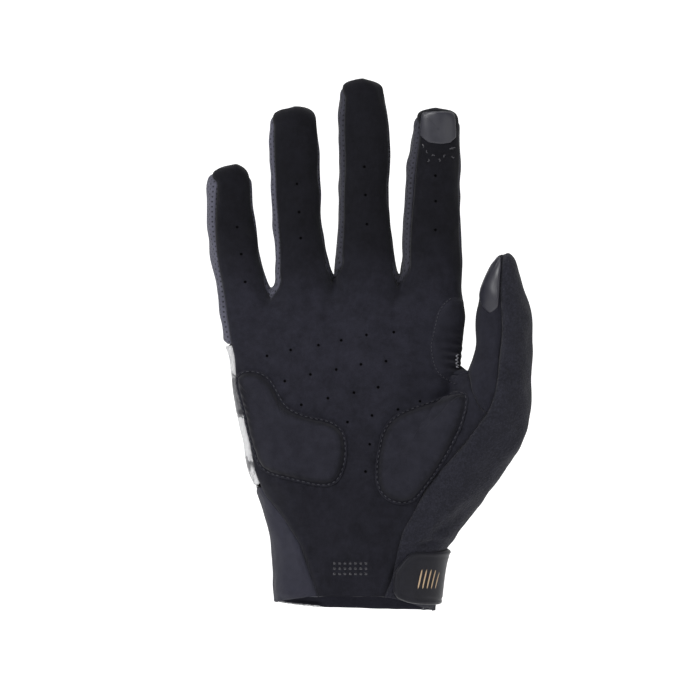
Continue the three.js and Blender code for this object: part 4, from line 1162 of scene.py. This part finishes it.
# A fan of places (x or turn, z) over the outline, each cast outwards from the finger's axis
def tipPatch(node, finger, rim, centre, directions):
    places = fanPlaces(rim, np.array(centre), 0, tipCloth["rings"])
    middle, axis = axisOf(finger, places[..., 1])
    face = castRays(np.stack([middle, axis, places[..., 1]], -1), directions(places))
    far = nearestGap(face.reshape(-1, 3), face[-1]).reshape(face.shape[:2])
    lift = cover(face)[1] + tipCloth["height"] * np.clip(far / tipCloth["corner"], 0, 1) ** 0.5 + tipCloth["gap"]
    makeSlab(node + "_smooth", face, lift, tipCloth["under"], [touchPatch], node=node)


tipPatch("index_tip_patch", "index", evened(indexPatchLine, 0.5, soften=0.4), (32.2, 188.5),
         lambda places: leaning(places[..., 0], *sectionOf("index", places[..., 1])[:2], tipCloth["lean"]))
tipPatch("thumb_tip_patch", "thumb", evened(thumbPatchLine * np.array([tipCloth["perDegree"], 1]), 0.5, soften=0.8),
         (228 * tipCloth["perDegree"], 126.0),
         lambda places: flatAim(np.radians(places[..., 0] / tipCloth["perDegree"])))
print("tip patches")

# ---- strap round the thumb side of the wrist ----
strap = {"middle": 12.0, "thickness": 1.4, "gap": 0.8, "columns": 130, "rows": 26, "corner": 1.1}
strapPlan = np.array([
    (-84.5, 3.6, 9.2), (-83.5, 2.4, 11.0), (-81, 1.0, 12.8), (-77, 0.2, 14.6), (-73, -0.4, 16.4), (-69, -0.9, 17.9),
    (-65, -1.2, 19.0), (-59, -1.5, 19.5), (-50, -1.8, 19.5), (-38, -2.0, 19.8), (-20, -1.9, 20.1), (0, -1.9, 20.5),
    (60, -1.4, 20.9), (98, -1.2, 20.8), (102, -1.0, 20.4)])
columnTurn = -84.5 + 186.5 * np.linspace(0, 1, strap["columns"]) ** 1.25
low = np.interp(columnTurn, strapPlan[:, 0], strapPlan[:, 1])
high = np.interp(columnTurn, strapPlan[:, 0], strapPlan[:, 2])
across = np.linspace(0, 1, strap["rows"])
across = 0.5 - 0.5 * np.cos(np.pi * across)
z = low[None] + (high - low)[None] * across[:, None]
strapFace = castRays(np.stack([np.full_like(z, strap["middle"]), 0 * z, z], -1),
                     flatAim(np.radians(np.broadcast_to(columnTurn, z.shape))))
far = edgeGap(strapFace)
roundEdge = np.sqrt(np.clip(1 - (1 - np.clip(far / strap["corner"], 0, 1)) ** 2, 0, 1))
welt = 0.3 * np.exp(-((far - 2.0) / 0.5) ** 2)
ripple = 0.12 * waves(strapFace.reshape(-1, 3), 14.0, 31).reshape(z.shape)
lift = strap["gap"] + strap["thickness"] * roundEdge - welt + ripple
makeSlab("wrist_strap_cloth", strapFace, lift, strap["gap"] - 0.5, [strapCloth], node="wrist_strap")
print("strap")


# Places on the strap's face for threads and marks: x and z on the front of the wrist
def onStrap(x, z):
    side = x - strap["middle"]
    turned = np.arctan2(-23.0 * np.sqrt(np.clip(1 - (side / 25.0) ** 2, 0.01, 1)), side)
    surface = castRays(np.stack([np.full_like(x, strap["middle"]), 0 * x, z], -1), flatAim(turned))
    return surface, cover(surface)[0]


dashes = {"count": 5, "left": 23.6, "pitch": 1.9, "lean": 1.7, "low": 4.6, "high": 12.6, "radius": 0.36}
number = np.arange(dashes["count"])[:, None]
t = np.linspace(0, 1, 12)[None]
dashX = dashes["left"] + dashes["pitch"] * number + dashes["lean"] * t
dashZ = dashes["low"] + (dashes["high"] - dashes["low"]) * t + 0 * number
surface, normals = onStrap(dashX, dashZ)
makeTubes("strap_marks", surface + normals * 2.22, normals, dashes["radius"], tan, flat=0.25)

# ---- gloss marks: three rows of seven domes at the wrist, crescents under the index fingertip ----
dots = {"left": -9.4, "pitch": 2.1, "low": 10.6, "rise": 2.1, "half": 0.62}
column, row = np.meshgrid(np.arange(7), np.arange(3))
dotX = (dots["left"] + dots["pitch"] * column.ravel())[:, None] + dots["half"] * np.linspace(-1, 1, 9)
dotZ = np.broadcast_to((dots["low"] + dots["rise"] * row.ravel())[:, None], dotX.shape)
surface = frontPoints(dotX, dotZ)
normals, base = cover(surface)
makeTubes("wrist_marks", surface + normals * base[..., None], normals, 0.55, gloss, flat=0.35, around=9)

grips = np.array([(25.6, 181.5, 20), (27.8, 179.5, 200), (27.7, 176.1, 320), (30.0, 177.5, 90), (35.1, 177.5, 150),
                  (32.4, 175.9, 10), (38.4, 180.5, 120), (38.2, 177.7, 240), (37.0, 181.2, 300)])
arc = np.radians(grips[:, 2:3] + np.linspace(-80, 80, 12)[None])
gripX = grips[:, 0:1] + 0.62 * np.cos(arc)
gripZ = grips[:, 1:2] + 0.62 * np.sin(arc)
middle, half, front, back, centre = sectionOf("index", gripZ)
surface = castRays(np.stack([middle, centre, gripZ], -1), leaning(gripX, middle, half, 0.96))
normals, base = cover(surface)
makeTubes("index_grip_marks", surface + normals * (base + 0.05)[..., None], normals, 0.26, gloss,
          flat=0.6)

# Zigzag bartack at the thumb crotch
bartack = {"left": 1.6, "lift": 1.4, "radius": 0.2}
zigzag = np.array([(40.9, 98.4), (39.7, 97.6), (40.9, 96.8), (39.6, 96.0), (40.9, 95.3), (39.6, 94.6), (41.0, 93.9),
                   (39.8, 93.2), (41.2, 92.6)])
legs = np.stack([zigzag[:-1], zigzag[1:]], 1)
t = np.linspace(0.04, 0.96, 7)[None, :, None]
places = legs[:, :1] * (1 - t) + legs[:, 1:] * t
surface = frontPoints(places[..., 0] - bartack["left"], places[..., 1])
normals = cover(surface)[0]
makeTubes("bartack", surface + normals * bartack["lift"], normals, bartack["radius"], paleThread, arch=0.12)
print("threads and marks done")

# ---- camera, floor, light ----
picture = {"middleX": -3.2, "middleZ": 100.0, "across": 280.0, "distance": 5000.0}
camera = bpy.data.objects.new("Camera", bpy.data.cameras.new("Camera"))
bpy.context.collection.objects.link(camera)
camera.location = (picture["middleX"] * mm, -picture["distance"] * mm, picture["middleZ"] * mm)
camera.rotation_euler = (math.radians(90), 0, 0)
camera.data.sensor_width = 36
camera.data.lens = 36 * (picture["distance"] - 14) / picture["across"]
bpy.context.scene.camera = camera

# Floor that sweeps up into a backdrop along a quarter circle
stageSize = {"low": -60.0, "bend": 1500.0, "back": 7500.0, "front": -7000.0, "half": 7000.0, "height": 6000.0}
angles = np.linspace(0, np.pi / 2, 24)
sweepY = np.concatenate([[stageSize["front"]], stageSize["back"] - stageSize["bend"] * (1 - np.sin(angles)),
                         [stageSize["back"]]])
sweepZ = np.concatenate([[0], stageSize["bend"] * (1 - np.cos(angles)), [stageSize["height"]]]) + stageSize["low"]
across = np.array([-stageSize["half"], stageSize["half"]])[:, None]
sweep = np.stack(np.broadcast_arrays(across, sweepY, sweepZ), -1)
floor = buildMesh("floor", *joinGrids([sweep]))
floor.data.materials.append(simpleMaterial("Floor", grey(0.88), grey(0.9), 0.9, 0.01, 0.0, Specular_IOR_Level=0.1,
                                           Emission_Color=grey(1.0), Emission_Strength=0.58))


def areaLight(name, place, size, power, target=(0, 0, 0.1)):
    light = bpy.data.objects.new(name, bpy.data.lights.new(name, "AREA"))
    light.data.shape = "DISK"
    light.data.size = size
    light.data.energy = power
    light.location = place
    away = np.array(place) - np.array(target)
    light.rotation_euler = (math.acos(away[2] / np.linalg.norm(away)), 0, math.atan2(away[1], away[0]) + math.pi / 2)
    bpy.context.collection.objects.link(light)


areaLight("Key", (-0.9, -1.1, 1.2), 0.7, 32)
areaLight("Fill", (1.3, -1.1, 0.4), 1.2, 5)
areaLight("Top", (0.0, 0.2, 1.7), 1.2, 14)
world = bpy.data.worlds.new("World")
world.use_nodes = True
world.node_tree.nodes["Background"].inputs["Color"].default_value = (1, 1, 1, 1)
world.node_tree.nodes["Background"].inputs["Strength"].default_value = 0.52
bpy.context.scene.world = world
bpy.context.scene.view_settings.view_transform = "Standard"

print("cycling glove: done")
